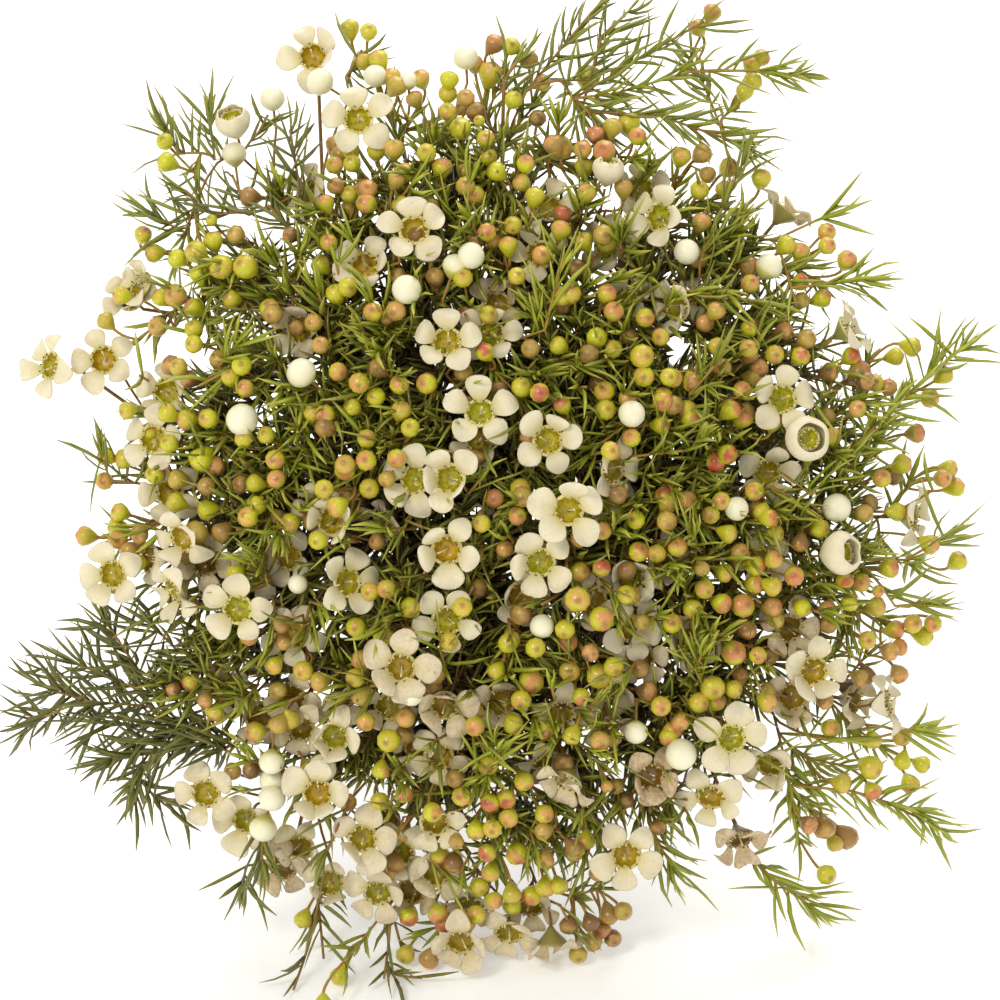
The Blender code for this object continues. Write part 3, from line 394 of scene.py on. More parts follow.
def turned(bases, directions, heights, radii, sides, spin=None):
    # p(k, i, a) = base(k) + h(k, i) direction + r(k, i) (cos a side + sin a other), with a pole at
    # the first and the last height
    count, rings = heights.shape
    side, other = sidesOf(directions, np.zeros(count) if spin is None else spin)
    a = np.arange(sides) * math.tau / sides
    ring = np.cos(a)[:, None] * side[:, None] + np.sin(a)[:, None] * other[:, None]
    axis = bases[:, None] + heights[..., None] * directions[:, None]
    body = axis[:, :, None] + radii[:, :, None, None] * ring[:, None]
    points = np.concatenate([body.reshape(count, -1, 3), axis[:, :1], axis[:, -1:]], 1)
    return points, shellFaces(rings, sides)


def alongShell(rings, sides, count, values=None):
    # the value of each ring, given to all its points and the poles
    values = np.linspace(0, 1, rings) if values is None else np.asarray(values, float)
    one = np.concatenate([np.repeat(values, sides), values[:1], values[-1:]])
    return np.tile(one, (count, 1))


class Skin:
    # Gathers sets of like shells, with their attributes and materials, into one mesh

    def __init__(self, name):
        self.name = name
        self.points, self.quads, self.tris = [], [], []
        self.slots, self.triSlots, self.values = [], [], {}
        self.total = 0

    def add(self, shells, finish=0, **values):
        points, (quads, tris) = shells
        count, each = points.shape[:2]
        start = self.total + np.arange(count)[:, None, None] * each
        self.points.append(points.reshape(-1, 3))
        self.quads.append((quads + start).reshape(-1, 4))
        self.tris.append((tris + start).reshape(-1, 3))
        self.slots.append(np.full(count * len(quads), finish))
        self.triSlots.append(np.full(count * len(tris), finish))
        for key in sorted(set(self.values) | set(values)):
            known = self.values.setdefault(key, [np.zeros(self.total)])
            value = np.asarray(values.get(key, 0.0), float)
            if value.ndim == 1:
                value = value[:, None]
            known.append(np.broadcast_to(value, (count, each)).reshape(-1))
        self.total += count * each

    def piece(self, materials, nodes):
        if not self.points:
            return
        quads, tris = np.concatenate(self.quads), np.concatenate(self.tris)
        points = toWorld(np.concatenate(self.points))
        mesh = bpy.data.meshes.new(self.name)
        mesh.vertices.add(len(points))
        mesh.vertices.foreach_set("co", points.ravel())
        corners = np.concatenate([quads.ravel(), tris.ravel()])
        mesh.loops.add(len(corners))
        mesh.loops.foreach_set("vertex_index", corners)
        starts = np.concatenate([np.arange(len(quads)) * 4, quads.size + np.arange(len(tris)) * 3])
        mesh.polygons.add(len(starts))
        mesh.polygons.foreach_set("loop_start", starts)
        mesh.polygons.foreach_set("material_index", np.concatenate(self.slots + self.triSlots))
        mesh.polygons.foreach_set("use_smooth", np.ones(len(starts), bool))
        for key, lists in self.values.items():
            mesh.attributes.new(key, "FLOAT", "POINT").data.foreach_set("value", np.concatenate(lists))
        mesh.update(calc_edges=True)
        mesh.validate()
        made = bpy.data.objects.new(self.name, mesh)
        bpy.context.scene.collection.objects.link(made)
        for finish in materials:
            mesh.materials.append(finish)
        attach(made, "root")
        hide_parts(*nodes)


# Materials

def tone(red, green, blue):
    # sRGB 0..255 to linear: ((c + 0.055) / 1.055)^2.4
    c = np.array([red, green, blue]) / 255
    return (*np.where(c > 0.04045, ((c + 0.055) / 1.055) ** 2.4, c / 12.92), 1.0)


class Finish:
    # A Principled material with short words for the nodes that it is made of

    def __init__(self, name, roughness, specular=0.5, subsurface=0.0):
        self.material = bpy.data.materials.new(name)
        self.material.use_nodes = True
        self.tree = self.material.node_tree
        self.shader = self.tree.nodes["Principled BSDF"]
        self.shader.inputs["Roughness"].default_value = roughness
        self.shader.inputs["Specular IOR Level"].default_value = specular
        if subsurface:
            self.shader.inputs["Subsurface Weight"].default_value = subsurface
            self.shader.inputs["Subsurface Radius"].default_value = (0.0012, 0.001, 0.0007)
            self.shader.inputs["Subsurface Scale"].default_value = 1.0
        self.place = self.tree.nodes.new("ShaderNodeTexCoord").outputs["Object"]

    def link(self, source, target):
        self.tree.links.new(source, target)

    def value(self, key):
        node = self.tree.nodes.new("ShaderNodeAttribute")
        node.attribute_name = key
        return node.outputs["Fac"]

    def noise(self, size, detail=3.0):
        # lumps of about this many mm
        node = self.tree.nodes.new("ShaderNodeTexNoise")
        node.inputs["Scale"].default_value = 1 / (size * mm)
        node.inputs["Detail"].default_value = detail
        self.link(self.place, node.inputs["Vector"])
        return node.outputs["Fac"]

    def cells(self, size):
        node = self.tree.nodes.new("ShaderNodeTexVoronoi")
        node.inputs["Scale"].default_value = 1 / (size * mm)
        self.link(self.place, node.inputs["Vector"])
        return node.outputs["Distance"]

    def math(self, kind, a, b):
        node = self.tree.nodes.new("ShaderNodeMath")
        node.operation = kind
        for socket, source in zip(node.inputs, (a, b)):
            if isinstance(source, (int, float)):
                socket.default_value = source
            else:
                self.link(source, socket)
        return node.outputs[0]

    def ramp(self, share, stops):
        node = self.tree.nodes.new("ShaderNodeValToRGB")
        elements = node.color_ramp.elements
        while len(elements) < len(stops):
            elements.new(0.5)
        for element, (position, color) in zip(elements, stops):
            element.position = position
            element.color = color
        self.link(share, node.inputs["Fac"])
        return node.outputs["Color"]

    def tones(self, share, *stops):
        # stops of position and sRGB colour
        return self.ramp(share, [(position, tone(*color)) for position, *color in stops])

    def mask(self, share, low, high, most=1.0):
        # black up to low and this much white from high
        return self.ramp(share, [(low, (0, 0, 0, 1)), (high, (most, most, most, 1))])

    def mix(self, share, a, b):
        node = self.tree.nodes.new("ShaderNodeMix")
        node.data_type = "RGBA"
        sockets = [node.inputs[0], node.inputs[6], node.inputs[7]]
        for socket, source in zip(sockets, (share, a, b)):
            if isinstance(source, (int, float, tuple)):
                socket.default_value = source
            else:
                self.link(source, socket)
        return node.outputs[2]

    def color(self, source):
        self.link(source, self.shader.inputs["Base Color"])

    def bump(self, height, depth):
        node = self.tree.nodes.new("ShaderNodeBump")
        node.inputs["Strength"].default_value = 0.6
        node.inputs["Distance"].default_value = depth * mm
        self.link(height, node.inputs["Height"])
        self.link(node.outputs["Normal"], self.shader.inputs["Normal"])


def petalFinish():
    # greenish claw, cream blade, a few brown specks, and tan where the flower withers
    f = Finish("waxyPetal", 0.45, 0.35, 0.12)
    body = f.tones(f.value("along"), (0.0, 204, 198, 104), (0.16, 220, 211, 156),
                   (0.4, 228, 219, 186), (0.9, 230, 222, 194), (1.0, 216, 196, 162))
    shade = f.mix(f.math("MULTIPLY", f.noise(1.8), 0.55), body, tone(204, 186, 144))
    specks = f.mask(f.noise(0.5, 1), 0.70, 0.78, 0.4)
    spotted = f.mix(specks, shade, tone(160, 112, 70))
    withered = f.tones(f.noise(0.9), (0.3, 208, 182, 144), (0.7, 156, 118, 82))
    f.color(f.mix(f.value("age"), spotted, withered))
    f.bump(f.noise(0.6, 4), 0.06)
    return f.material


def cupFinish():
    # green outside, a cream rim, and a yellow-green or golden bowl with olive patches; the dark olive band
    # just inside the rim and the darker middle are painted shade of the bowl
    f = Finish("nectarCup", 0.28, 0.5)
    # in both ramps the darker stops under the rim and at the bottom of the bowl are painted shade
    young = f.tones(f.value("along"), (0.0, 120, 126, 52), (0.34, 176, 178, 96),
                    (0.42, 232, 224, 170), (0.56, 228, 218, 140), (0.65, 166, 160, 28),
                    (0.8, 192, 190, 24), (1.0, 172, 174, 30))
    golden = f.tones(f.value("along"), (0.34, 170, 164, 90), (0.42, 232, 220, 166),
                     (0.56, 222, 202, 110), (0.66, 168, 132, 24), (0.85, 208, 172, 26),
                     (1.0, 188, 140, 26))
    body = f.mix(f.value("gold"), young, golden)
    patches = f.mask(f.noise(0.9), 0.45, 0.65, 0.7)
    bowl = f.mask(f.value("along"), 0.58, 0.66)
    spotted = f.mix(f.math("MULTIPLY", patches, bowl), body, tone(138, 112, 20))
    f.color(f.mix(f.value("age"), spotted, tone(106, 70, 36)))
    f.bump(f.cells(0.5), 0.05)
    return f.material


def stamenFinish():
    f = Finish("stamens", 0.5)
    f.color(f.tones(f.value("along"), (0.0, 232, 224, 180), (0.6, 228, 214, 160),
                    (0.75, 132, 80, 40), (1.0, 96, 56, 30)))
    return f.material


def budFinish():
    # a blush spreads down from the crown, further on one side, over green to brown; the brown is ripeness,
    # and in deeper buds also painted shade
    f = Finish("budSkin", 0.3, 0.5)
    green = f.tones(f.value("ripeness"), (0.0, 204, 204, 40), (0.4, 196, 188, 48),
                    (0.6, 184, 156, 74), (0.8, 158, 118, 62), (1.0, 106, 80, 48))
    crown = f.tones(f.value("blush"), (0.0, 204, 192, 60), (0.3, 216, 178, 80),
                    (0.6, 218, 156, 90), (0.85, 204, 124, 78), (1.0, 192, 78, 58))
    side = f.math("MULTIPLY", f.noise(2.6, 1), 1.1)
    edge = f.math("ADD", f.math("MULTIPLY", f.value("along"), 0.8), side)
    cap = f.mask(f.math("SUBTRACT", edge, 0.6), 0.50, 0.74)
    strength = f.math("MINIMUM", f.math("MULTIPLY", f.value("blush"), 1.6), 1.0)
    body = f.mix(f.math("MULTIPLY", cap, strength), green, crown)
    freckles = f.mask(f.noise(0.4, 2), 0.5, 0.8, 0.5)
    freckled = f.mix(freckles, body, tone(142, 98, 44))
    point = f.mask(f.value("along"), 0.94, 1.0, 0.6)
    f.color(f.mix(point, freckled, tone(120, 72, 44)))
    f.bump(f.cells(0.45), 0.05)
    return f.material


def whiteBudFinish():
    f = Finish("whiteBud", 0.38, 0.45, 0.12)
    body = f.tones(f.value("along"), (0.0, 156, 158, 50), (0.2, 188, 184, 72),
                   (0.34, 228, 222, 158), (0.6, 239, 234, 206), (1.0, 243, 239, 218))
    f.color(f.mix(f.math("MULTIPLY", f.noise(1.8), 0.5), body, tone(224, 216, 158)))
    f.bump(f.noise(0.9), 0.08)
    return f.material


def needleFinish():
    f = Finish("needle", 0.45, 0.4)
    old = f.tones(f.noise(4.0), (0.3, 84, 88, 40), (0.7, 124, 122, 58))
    young = f.tones(f.value("along"), (0.0, 164, 172, 36), (0.5, 154, 164, 42),
                    (1.0, 202, 194, 84))
    green = f.mix(f.value("fresh"), old, young)
    # dryness turns the needles tan brown: dead needles, and in the deep layers also painted shade of the
    # hollows
    f.color(f.mix(f.value("dry"), green, tone(132, 116, 68)))
    f.bump(f.noise(0.5), 0.05)
    return f.material


def twigFinish():
    f = Finish("twigBark", 0.65, 0.3)
    old = f.tones(f.noise(2.0, 4), (0.3, 92, 66, 46), (0.7, 146, 110, 80))
    young = f.tones(f.noise(2.5), (0.3, 180, 124, 58), (0.7, 168, 152, 62))
    f.color(f.mix(f.value("young"), old, young))
    f.bump(f.noise(0.6, 4), 0.1)
    return f.material


def stemFinish():
    f = Finish("stemBark", 0.8, 0.25)
    strands = f.noise(1.6, 6)
    body = f.tones(strands, (0.25, 84, 62, 46), (0.5, 134, 104, 78), (0.8, 172, 146, 118))
    f.color(f.mix(f.value("cut"), body, tone(214, 196, 156)))
    f.bump(strands, 0.35)
    return f.material


finishes = {
    "petal": petalFinish(), "cup": cupFinish(), "stamen": stamenFinish(), "bud": budFinish(),
    "whiteBud": whiteBudFinish(), "needle": needleFinish(), "twig": twigFinish(), "stem": stemFinish(),
}
print("materials done")


# Flowers

flowerLook = {
    "cupRadius": 3.1, "cupDepth": 3.4, "cupSides": 16, "stamens": 20,
    "petals": 5, "petalRings": 9, "petalSides": 14, "thickness": 0.3,
    "petalEnd": 0.54,               # tip from the axis, as a share of the flower's width
    "petalWidth": 0.2,              # half width, as a share of the flower's width
    "folded": 0.22,                 # share of petals that stand up
    "globeSides": 30, "globeLift": 40,      # petals that lift by more make a half-open globe
}
cupProfile = [(-3.4, 0.55), (-2.6, 1.0), (-1.6, 1.9), (-0.6, 2.8), (0.0, 3.3), (0.22, 3.4), (0.36, 3.2),
              (0.34, 2.75), (-0.1, 2.6), (-0.9, 2.35), (-1.6, 1.7), (-1.8, 0.8), (-1.75, 0.3)]


class Flower:
    # Where a flower sits, which way it faces, and how old, golden and open it is

    def __init__(self, x, y, depth, tilt, lean, width, lift, deep, age=0.0):
        beige = rng.uniform(0.08, 0.34) if y > 640 and x < 640 else rng.uniform(0, 0.1)
        self.facing = leaning(tilt, lean)
        self.side, self.other = (v[0] for v in sidesOf(self.facing[None], np.zeros(1)))
        flatness = math.sqrt(max(1 - (self.facing @ upOfFloor) ** 2, 0))
        self.width, self.lift, self.deep = width, math.radians(lift), deep
        self.centre = place(x, y, depth, width / 2 * flatness + 0.8)
        self.age = fadedFlowers.get((x, y), max(age, beige))
        self.gold = float(np.clip(rng.normal(0.4, 0.3) + self.age, 0, 1))
        self.foot = self.centre - self.facing * flowerLook["cupDepth"]
        self.size, self.raised = 1.1, 0.0       # of the cup
        if lift > flowerLook["globeLift"]:
            self.size, self.raised, self.age, self.gold = 0.84, 3.2, 0.0, 0.0
        self.cover = 0.5 if not deep else 0.92 if age == 0 else 1.0    # share of needles left before it
        self.first = math.radians(firstPetal.get((x, y), rng.uniform(0, 72)) + 90)


def petals(flower):
    # A petal is a flattened tube, at the share t of its length of the half width
    # W sqrt(1 - (2t - 1)^2 + (1 - t) / 20) (0.7 + 0.3 sin(pi t / 1.2)). Its middle line rises by the
    # lift and rolls back at the tip, its margins rise by the square of their distance from it, and
    # three waves run round them.
    rings, sides = flowerLook["petalRings"], flowerLook["petalSides"]
    t = (1 - np.cos(math.pi * np.arange(rings) / rings)) / 2
    a = np.arange(sides) * math.tau / sides
    cosA, sinA = np.cos(a), np.sin(a)
    rim, count = flowerLook["cupRadius"] * 0.85, flowerLook["petals"]
    turns = flower.first + np.arange(count) * math.tau / count + rng.uniform(-0.12, 0.12, count)
    shells = []
    for turn in turns:
        out = math.cos(turn) * flower.side + math.sin(turn) * flower.other
        across = np.cross(flower.facing, out)
        reach = (flower.width * flowerLook["petalEnd"] - rim) * rng.uniform(0.86, 1.08)
        folded = rng.uniform(0.4, 1.1) if rng.random() < flowerLook["folded"] else 0
        lift = flower.lift + rng.normal(0, 0.2) + folded + 0.6 * flower.age * rng.uniform(-1, 1)
        wide = flower.width * (flowerLook["petalWidth"] + 0.04 * flower.age) * rng.uniform(0.84, 1.1)
        oval = np.sqrt(1 - (2 * t - 1) ** 2 + 0.05 * (1 - t))
        halfWidth = wide * oval * (0.7 + 0.3 * np.sin(math.pi * t / 1.2))
        roll = rng.uniform(-0.2, 0.7)
        run = reach * t * math.cos(lift)
        rise = reach * (t * math.sin(lift) + 0.22 * np.sin(math.pi * t) - roll * t ** 3 * 0.5)
        ruffle = 1 + rng.uniform(0.02, 0.08) * np.sin(4 * a + rng.uniform(0, math.tau))
        wave = rng.uniform(0.03, 0.11 + 0.25 * flower.age) * np.sin(3 * a + rng.uniform(0, math.tau))
        cupping = rng.uniform(0.04, 0.5)
        half, share = halfWidth[:, None], t[:, None]
        w = half * cosA * ruffle
        z = rise[:, None] + cupping * half * cosA ** 2 + wave * half * share
        z = z + rng.uniform(-0.14, 0.14) * half * cosA * share
        z = z + flowerLook["thickness"] / 2 * sinA * np.sqrt(1 - (2 * share - 1) ** 2 * 0.7)
        body = flower.centre + (rim + run)[:, None, None] * out + w[..., None] * across
        body = body + z[..., None] * flower.facing
        foot = flower.centre + rim * 0.9 * out
        tip = flower.centre + (rim + run[-1]) * out + (rise[-1] + 0.02) * flower.facing + 0.15 * out
        shells.append(np.concatenate([body.reshape(-1, 3), foot[None], tip[None]]))
    along = np.concatenate([np.repeat(t, sides), [0], [1]])
    return (np.stack(shells), shellFaces(rings, sides)), np.tile(along, (count, 1))


def globe(flower):
    # A half-open flower is a round shell turned about its axis, out along the profile of height and
    # radius and back in over the rim. Five lobes swell it and lift its rim, by cos 5a.
    radius, sides = flower.width / 2, flowerLook["globeSides"]
    gap = 1.6 - flower.lift
    profile = np.array([
        (-0.72, 0.1), (-0.55, 0.28), (-0.3, 0.54), (0.0, 0.8), (0.3, 0.96), (0.55, 1.0), (0.8, 0.92),
        (1.0, (0.92 + gap) / 2), (1.08, gap + 0.06), (1.06, gap), (0.9, gap + 0.06), (0.5, 0.8),
        (0.2, 0.7), (0.0, 0.5), (-0.05, 0.15)])
    heights, radii = profile.T[:, None] * radius
    spin = np.array([flower.first])
    points, faces = turned(flower.centre[None], flower.facing[None], heights, radii, sides, spin)
    a = np.tile(np.arange(sides) * math.tau / sides, len(profile))
    swell = np.repeat(np.clip(profile[:, 0], 0, 1), sides) * np.cos(5 * a) * 0.5
    away = points[0, :-2] - flower.centre
    rise = (away @ flower.facing)[:, None] * flower.facing
    points[0, :-2] += (away - rise) * 0.05 * swell[:, None] + 0.1 * swell[:, None] * rise
    share = np.array([0, 0.08, 0.2, 0.4, 0.5, 0.6, 0.7, 0.8, 0.85, 0.85, 0.6, 0.3, 0.15, 0.05, 0.02])
    return (points, faces), alongShell(len(profile), sides, 1, share)


def stamens(flower):
    # teeth stand on the rim and lean in over the cup; every other one ends in a dark anther, and
    # fewer of them in a globe
    count = flowerLook["stamens"]
    turn = np.arange(count) * math.tau / count + rng.uniform(-0.08, 0.08, count)
    out = np.cos(turn)[:, None] * flower.side + np.sin(turn)[:, None] * flower.other
    s = np.array([0, 0.5, 0.8, 1.0])
    inward = 2.98 * flower.size - s[None, :, None] * rng.uniform(0.1, 0.9, (count, 1, 1))
    rise = 0.25 + np.sin(s * 1.5)[None, :, None] * rng.uniform(0.5, 1.1, (count, 1, 1))
    lines = flower.centre + inward * out[:, None] + (rise + flower.raised) * flower.facing
    anther = (np.arange(count) % (7 if flower.raised else 2) == 1)[:, None]
    radii = np.where(anther, [0.16, 0.13, 0.25, 0.2], [0.24, 0.2, 0.15, 0.1])
    along = np.repeat(np.where(anther, [0, 0.4, 0.85, 1.0], [0, 0.2, 0.4, 0.6]), 4, axis=1)
    along = np.concatenate([along, along[:, :1], along[:, -1:]], 1)
    return tubes(lines, radii, 4), along


def style(flower):
    # a pale line from the bottom of the bowl, leaning to one side, with a small knob
    s = np.linspace(0, 1, 4)
    side, _ = sidesOf(flower.facing[None], np.full(1, rng.uniform(0, math.tau)))
    way = unit(flower.facing + rng.uniform(0.1, 0.8) * side[0])
    lines = (flower.centre - flower.facing * 1.7 + s[:, None] * way * 3.4)[None]
    radii, shades = np.array([[0.2, 0.16, 0.15, 0.24]]), [0, 0.1, 0.3, 0.5]
    return tubes(lines, radii, 5), alongShell(4, 5, 1, shades)


def dress(skin, flower):
    # the flower's shells go into a skin: petals, cup, stamens and style
    shells, along = globe(flower) if flower.raised else petals(flower)
    skin.add(shells, 0, along=along, age=flower.age)
    heights, radii = np.array(cupProfile).T[:, None] * flower.size
    share = np.linspace(0, 1, len(cupProfile))
    foot = flower.centre + flower.raised * flower.facing
    cup = turned(foot[None], flower.facing[None], heights, radii, flowerLook["cupSides"])
    along = alongShell(len(cupProfile), flowerLook["cupSides"], 1, share)
    skin.add(cup, 1, along=along, age=flower.age, gold=flower.gold)
    for shells, along in (stamens(flower), style(flower)):
        skin.add(shells, 2, along=along)


flowers = [Flower(*row, deep=False) for row in openFlowers]
flowers += [Flower(*row, deep=True) for row in deepFlowers]
for x, y, depth in hiddenFlowers:
    lean = math.degrees(math.atan2(500 - y, x - 500))
    tilt, width, lift, age = rng.uniform((8, 13, 8, 0.05), (55, 15.2, 30, 0.45))
    lean += rng.uniform(-50, 50)
    flowers.append(Flower(x, y, depth + 3, tilt, lean, width, lift, True, age))
flowerFinishes = [finishes["petal"], finishes["cup"], finishes["stamen"]]
for i, flower in enumerate(flowers):
    if not flower.deep:
        skin = Skin(f"flower_{i + 1:02d}")
        dress(skin, flower)
        skin.piece(flowerFinishes, [f"bloom_{i + 1:02d}"])
print("open flowers done")


# Twigs

twigLook = {
    "limbRadius": 2.0, "limbStart": (6.4, 8.2), "limbRun": [(24, -66), (42, -43), (58, -25)],
    "limbTaper": (1.0, 0.85, 0.7, 0.55), "thinning": 0.46, "least": 0.34, "pedicel": 6.0,
    "rings": 6, "sides": 5, "steepest": 85, "fullness": 0.25,
}


class Spray:
    # What grows in one spray: the twigs as lines, and rows for its needles and buds

    def __init__(self):
        self.hosts = np.zeros((0, 7))       # place, direction and radius of spots a twig may leave
        self.lines, self.radii, self.young = [], [], []
        self.needles, self.buds, self.whiteBuds = [], [], []

    def addLine(self, line, radii, young):
        self.lines.append(line)
        self.radii.append(radii)
        self.young.append(young)
        way = unit(np.gradient(line, axis=0))
        spots = np.concatenate([line, way, radii[:, None]], 1)[1:-1]
        self.hosts = np.concatenate([self.hosts, spots])

    def reach(self, tips, young):
        # A twig grows to the tips from the host that costs least, length (1 + (turn / 50)^2). It
        # leaves along its host and curves over.
        runs = tips[0] - self.hosts[:, :3]
        length = np.linalg.norm(runs, axis=1)
        turn = np.degrees(np.arccos(np.clip((runs * self.hosts[:, 3:6]).sum(1) / length, -1, 1)))
        usable = (length > 3) & (turn < twigLook["steepest"])
        host = self.hosts[np.where(usable, length * (1 + (turn / 50) ** 2), 1e6).argmin()]
        start, way, radius = host[:3], host[3:6], max(host[6] * twigLook["thinning"], twigLook["least"])
        bendAt = start + way * np.linalg.norm(tips[0] - start) * twigLook["fullness"]
        line = curve(start, bendAt, tips[0], max(twigLook["rings"] - len(tips) + 1, 3))
        line = np.concatenate([line, tips[1:]])
        radii = np.linspace(radius, max(radius * 0.75, twigLook["least"]), len(line))
        self.addLine(line, radii, young)
        return line


def limb(name):
    # distance from the axis and height along the run, at the spray's angle
    angle, height = sprays[name]
    turn = math.radians(angle)
    rise = twigLook["limbStart"]
    run = np.array([(rise[0] - 0.5, height + rise[1] - 1.2)] + twigLook["limbRun"], float)
    line = np.stack([run[:, 0] * math.cos(turn), run[:, 0] * math.sin(turn), run[:, 1]], -1)
    fine = np.linspace(0, len(run) - 1, twigLook["rings"])
    radii = np.interp(fine, range(len(run)), twigLook["limbTaper"]) * twigLook["limbRadius"]
    line = np.stack([np.interp(fine, range(len(run)), line[:, k]) for k in range(3)], -1)
    return line, radii


grown = {name: Spray() for name in sprays}
for name, spray in grown.items():
    spray.addLine(*limb(name), 0.0)
for flower in sorted(flowers, key=lambda f: f.foot[2] - 0.5 * np.linalg.norm(f.foot[:2])):
    spray = grown[sprayOf(flower.foot)]
    spray.reach(np.array([flower.foot - flower.facing * twigLook["pedicel"], flower.foot]), 0.3)
print("flower twigs done")


# Needles

needleLook = {
    "length": (8.0, 16.0), "radius": 0.56, "flatness": 0.55, "spacing": 2.3, "rings": 4, "sides": 3,
    "spread": (22, 50),             # degrees from the twig
    "tuftLength": (6, 11), "tuftSpread": (6, 26), "bend": 0.5,
    "old": 0.1,                     # a shoot less fresh than this is darker and denser
}


def leaf(spray, base, tip, fresh, dry=0.0):
    # a row of base, tip, freshness, width and dryness; the dryness is dead brown needles and also painted
    # shade of the hollows
    wide = 1 + 0.25 * fresh + (0.25 if fresh < needleLook["old"] else 0) + 0.9 * dry
    spray.needles.append(np.concatenate([base, tip, [fresh, wide, dry]]))


def leafy(spray, line, length, fresh, size=1.0, tuft=5, spacing=1.0, dry=0.0, splay=1.0):
    # pairs of needles at every spacing, each pair turned a quarter from the last, and a tuft of
    # closer ones at the tip
    steps = np.linalg.norm(np.diff(line, axis=0), axis=1)
    far = np.concatenate([[0], np.cumsum(steps)])
    at = np.arange(max(far[-1] - length, 1.0), far[-1] + 0.1, needleLook["spacing"] * spacing)
    spots = np.stack([np.interp(at, far, line[:, k]) for k in range(3)], -1)
    way = unit(line[-1] - line[-2])
    side, other = (v[0] for v in sidesOf(way[None], np.zeros(1)))
    first = rng.uniform(0, math.tau)

    def slanted(a, degrees):
        spread = math.radians(degrees)
        return math.cos(spread) * way + math.sin(spread) * (math.cos(a) * side + math.sin(a) * other)

    for i, spot in enumerate(spots):
        for turn in (0, math.pi):
            a = first + i * math.pi / 2 + turn + rng.normal(0, 0.25)
            direction = slanted(a, rng.uniform(*needleLook["spread"]) * splay)
            reach = rng.uniform(*needleLook["length"]) * size
            leaf(spray, spot, spot + direction * reach, fresh + rng.normal(0, 0.08), dry)
    for i in range(tuft):
        direction = slanted(first + i * 2.4, rng.uniform(*needleLook["tuftSpread"]))
        tip = line[-1] + direction * rng.uniform(*needleLook["tuftLength"]) * size
        leaf(spray, line[-1] - way, tip, fresh + 0.2, dry)


for run, tips, fresh in leafyShoots:
    places = np.array([place(*stop, clearance=2.0) for stop in run])
    spray = grown[sprayOf(places[0])]
    line = spray.reach(places, 0.8 if fresh > 0.5 else 0.4)
    outer = line[-len(run) - 1:]
    length = np.linalg.norm(np.diff(places, axis=0), axis=1).sum()
    spacing, splay = (0.75, 1.4) if fresh < needleLook["old"] else (0.9, 1.05)
    leafy(spray, line, length + 6, fresh, 0.95, 4, spacing, 0, splay)
    share = np.linspace(0, 1, 8)[:, None]
    stops = np.concatenate([a + share * (b - a) for a, b in zip(outer[:-1], outer[1:])])
    for x, y in tips:
        end = place(x, y, run[-1][2] + rng.uniform(-1.5, 1.5), 0.3)
        base = stops[np.abs(np.linalg.norm(end - stops, axis=1) - 15).argmin()]
        if math.dist(base, end) > 17:       # too far for one needle, so a small twig carries it
            twig = spray.reach(np.array([base + 0.55 * (end - base)]), 0.5)
            leafy(spray, twig, 9, fresh, 0.8, 1)
            base = twig[-1]
        leaf(spray, base, end, fresh)
print("leafy shoots done")


# Buds

budLook = {
    "radius": 2.35, "large": 2.95, "small": 1.5, "sides": 10,
    "joinWithin": 30,               # picture points between the buds of a cluster
    "spread": 0.2,                  # of ripeness and blush within a region
    "petalGap": 0.9,                # mm between a bud and a flower's petals
    "stalk": (0.32, 0.4), "profile": [
        (0.0, 0.16), (0.45, 0.5), (1.0, 0.86), (1.5, 1.0), (1.95, 0.84), (2.18, 0.42), (2.32, 0.12)],
}
clusters = []                       # pairs of the members' picture points and their regions
for region in buds.values():
    for spot in region["places"]:
        near = [c for c in clusters if math.dist(c[0][0], spot) < budLook["joinWithin"]]
        near = [c for c in near if len(c[0]) < 6]
        if near:
            near[0][0].append(spot)
            near[0][1].append(region)
        else:
            clusters.append(([spot], [region]))


def clearOfPetals(base, toMiddle, size):
    # a bud whose middle is nearer to a flower's petals than its radius moves before or behind them
    for flower in flowers:
        away = base + toMiddle - flower.centre
        height = away @ flower.facing
        aside = np.linalg.norm(away - height * flower.facing)
        room = size + budLook["petalGap"]
        if aside < 0.5 * flower.width + 0.3 * size and abs(height) < room:
            base = base + ((room if height > -0.3 else -room) - height) * flower.facing
    return base


for spots, regions in clusters:
    middle = np.mean(spots, axis=0)
    depth = rng.uniform(2, 6)
    centre = place(middle[0], middle[1], depth, 3)
    facing = outwardAt(centre)
    spray = grown[sprayOf(centre)]
    line = spray.reach(np.array([centre - facing * 9]), 0.7)
    leafy(spray, line, 16, rng.uniform(0.45, 1.0), 0.72, 2)
    for spot, region in zip(spots, regions):
        size = budLook["large" if spot in largeBuds else "small" if spot in smallBuds else "radius"]
        size *= rng.uniform(0.92, 1.08)
        base = place(spot[0], spot[1], depth + rng.uniform(-1.5, 2.5) + size * 1.6)
        lean = unit(facing + 0.35 * rng.normal(size=3))
        base = clearOfPetals(base - lean * 0.6 * size, lean * size, size)
        base = offFloor(base, lean * size, 1.4 * size + 0.2)
        stalkFoot = line[-1] + unit(line[-1] - line[-2]) * rng.uniform(-3, 0.5)
        spray.lines.append(curve(stalkFoot, base - lean * 3.0, base + lean * 0.4, twigLook["rings"]))
        spray.radii.append(np.linspace(*budLook["stalk"], twigLook["rings"]))
        spray.young.append(0.9)
        blush = 1.0
        if spot not in redBuds:
            blush = np.clip(region["blush"] + rng.normal(0, budLook["spread"]), 0, 0.95)
        # deeper buds are made riper and browner, which is also painted shade
        ripe_and_shaded = np.clip(region["ripeness"] + rng.normal(0, budLook["spread"]) + 0.02 * depth, 0, 1)
        spray.buds.append(np.concatenate([base, lean, [size, ripe_and_shaded, blush]]))
print(len(clusters), "bud clusters done")
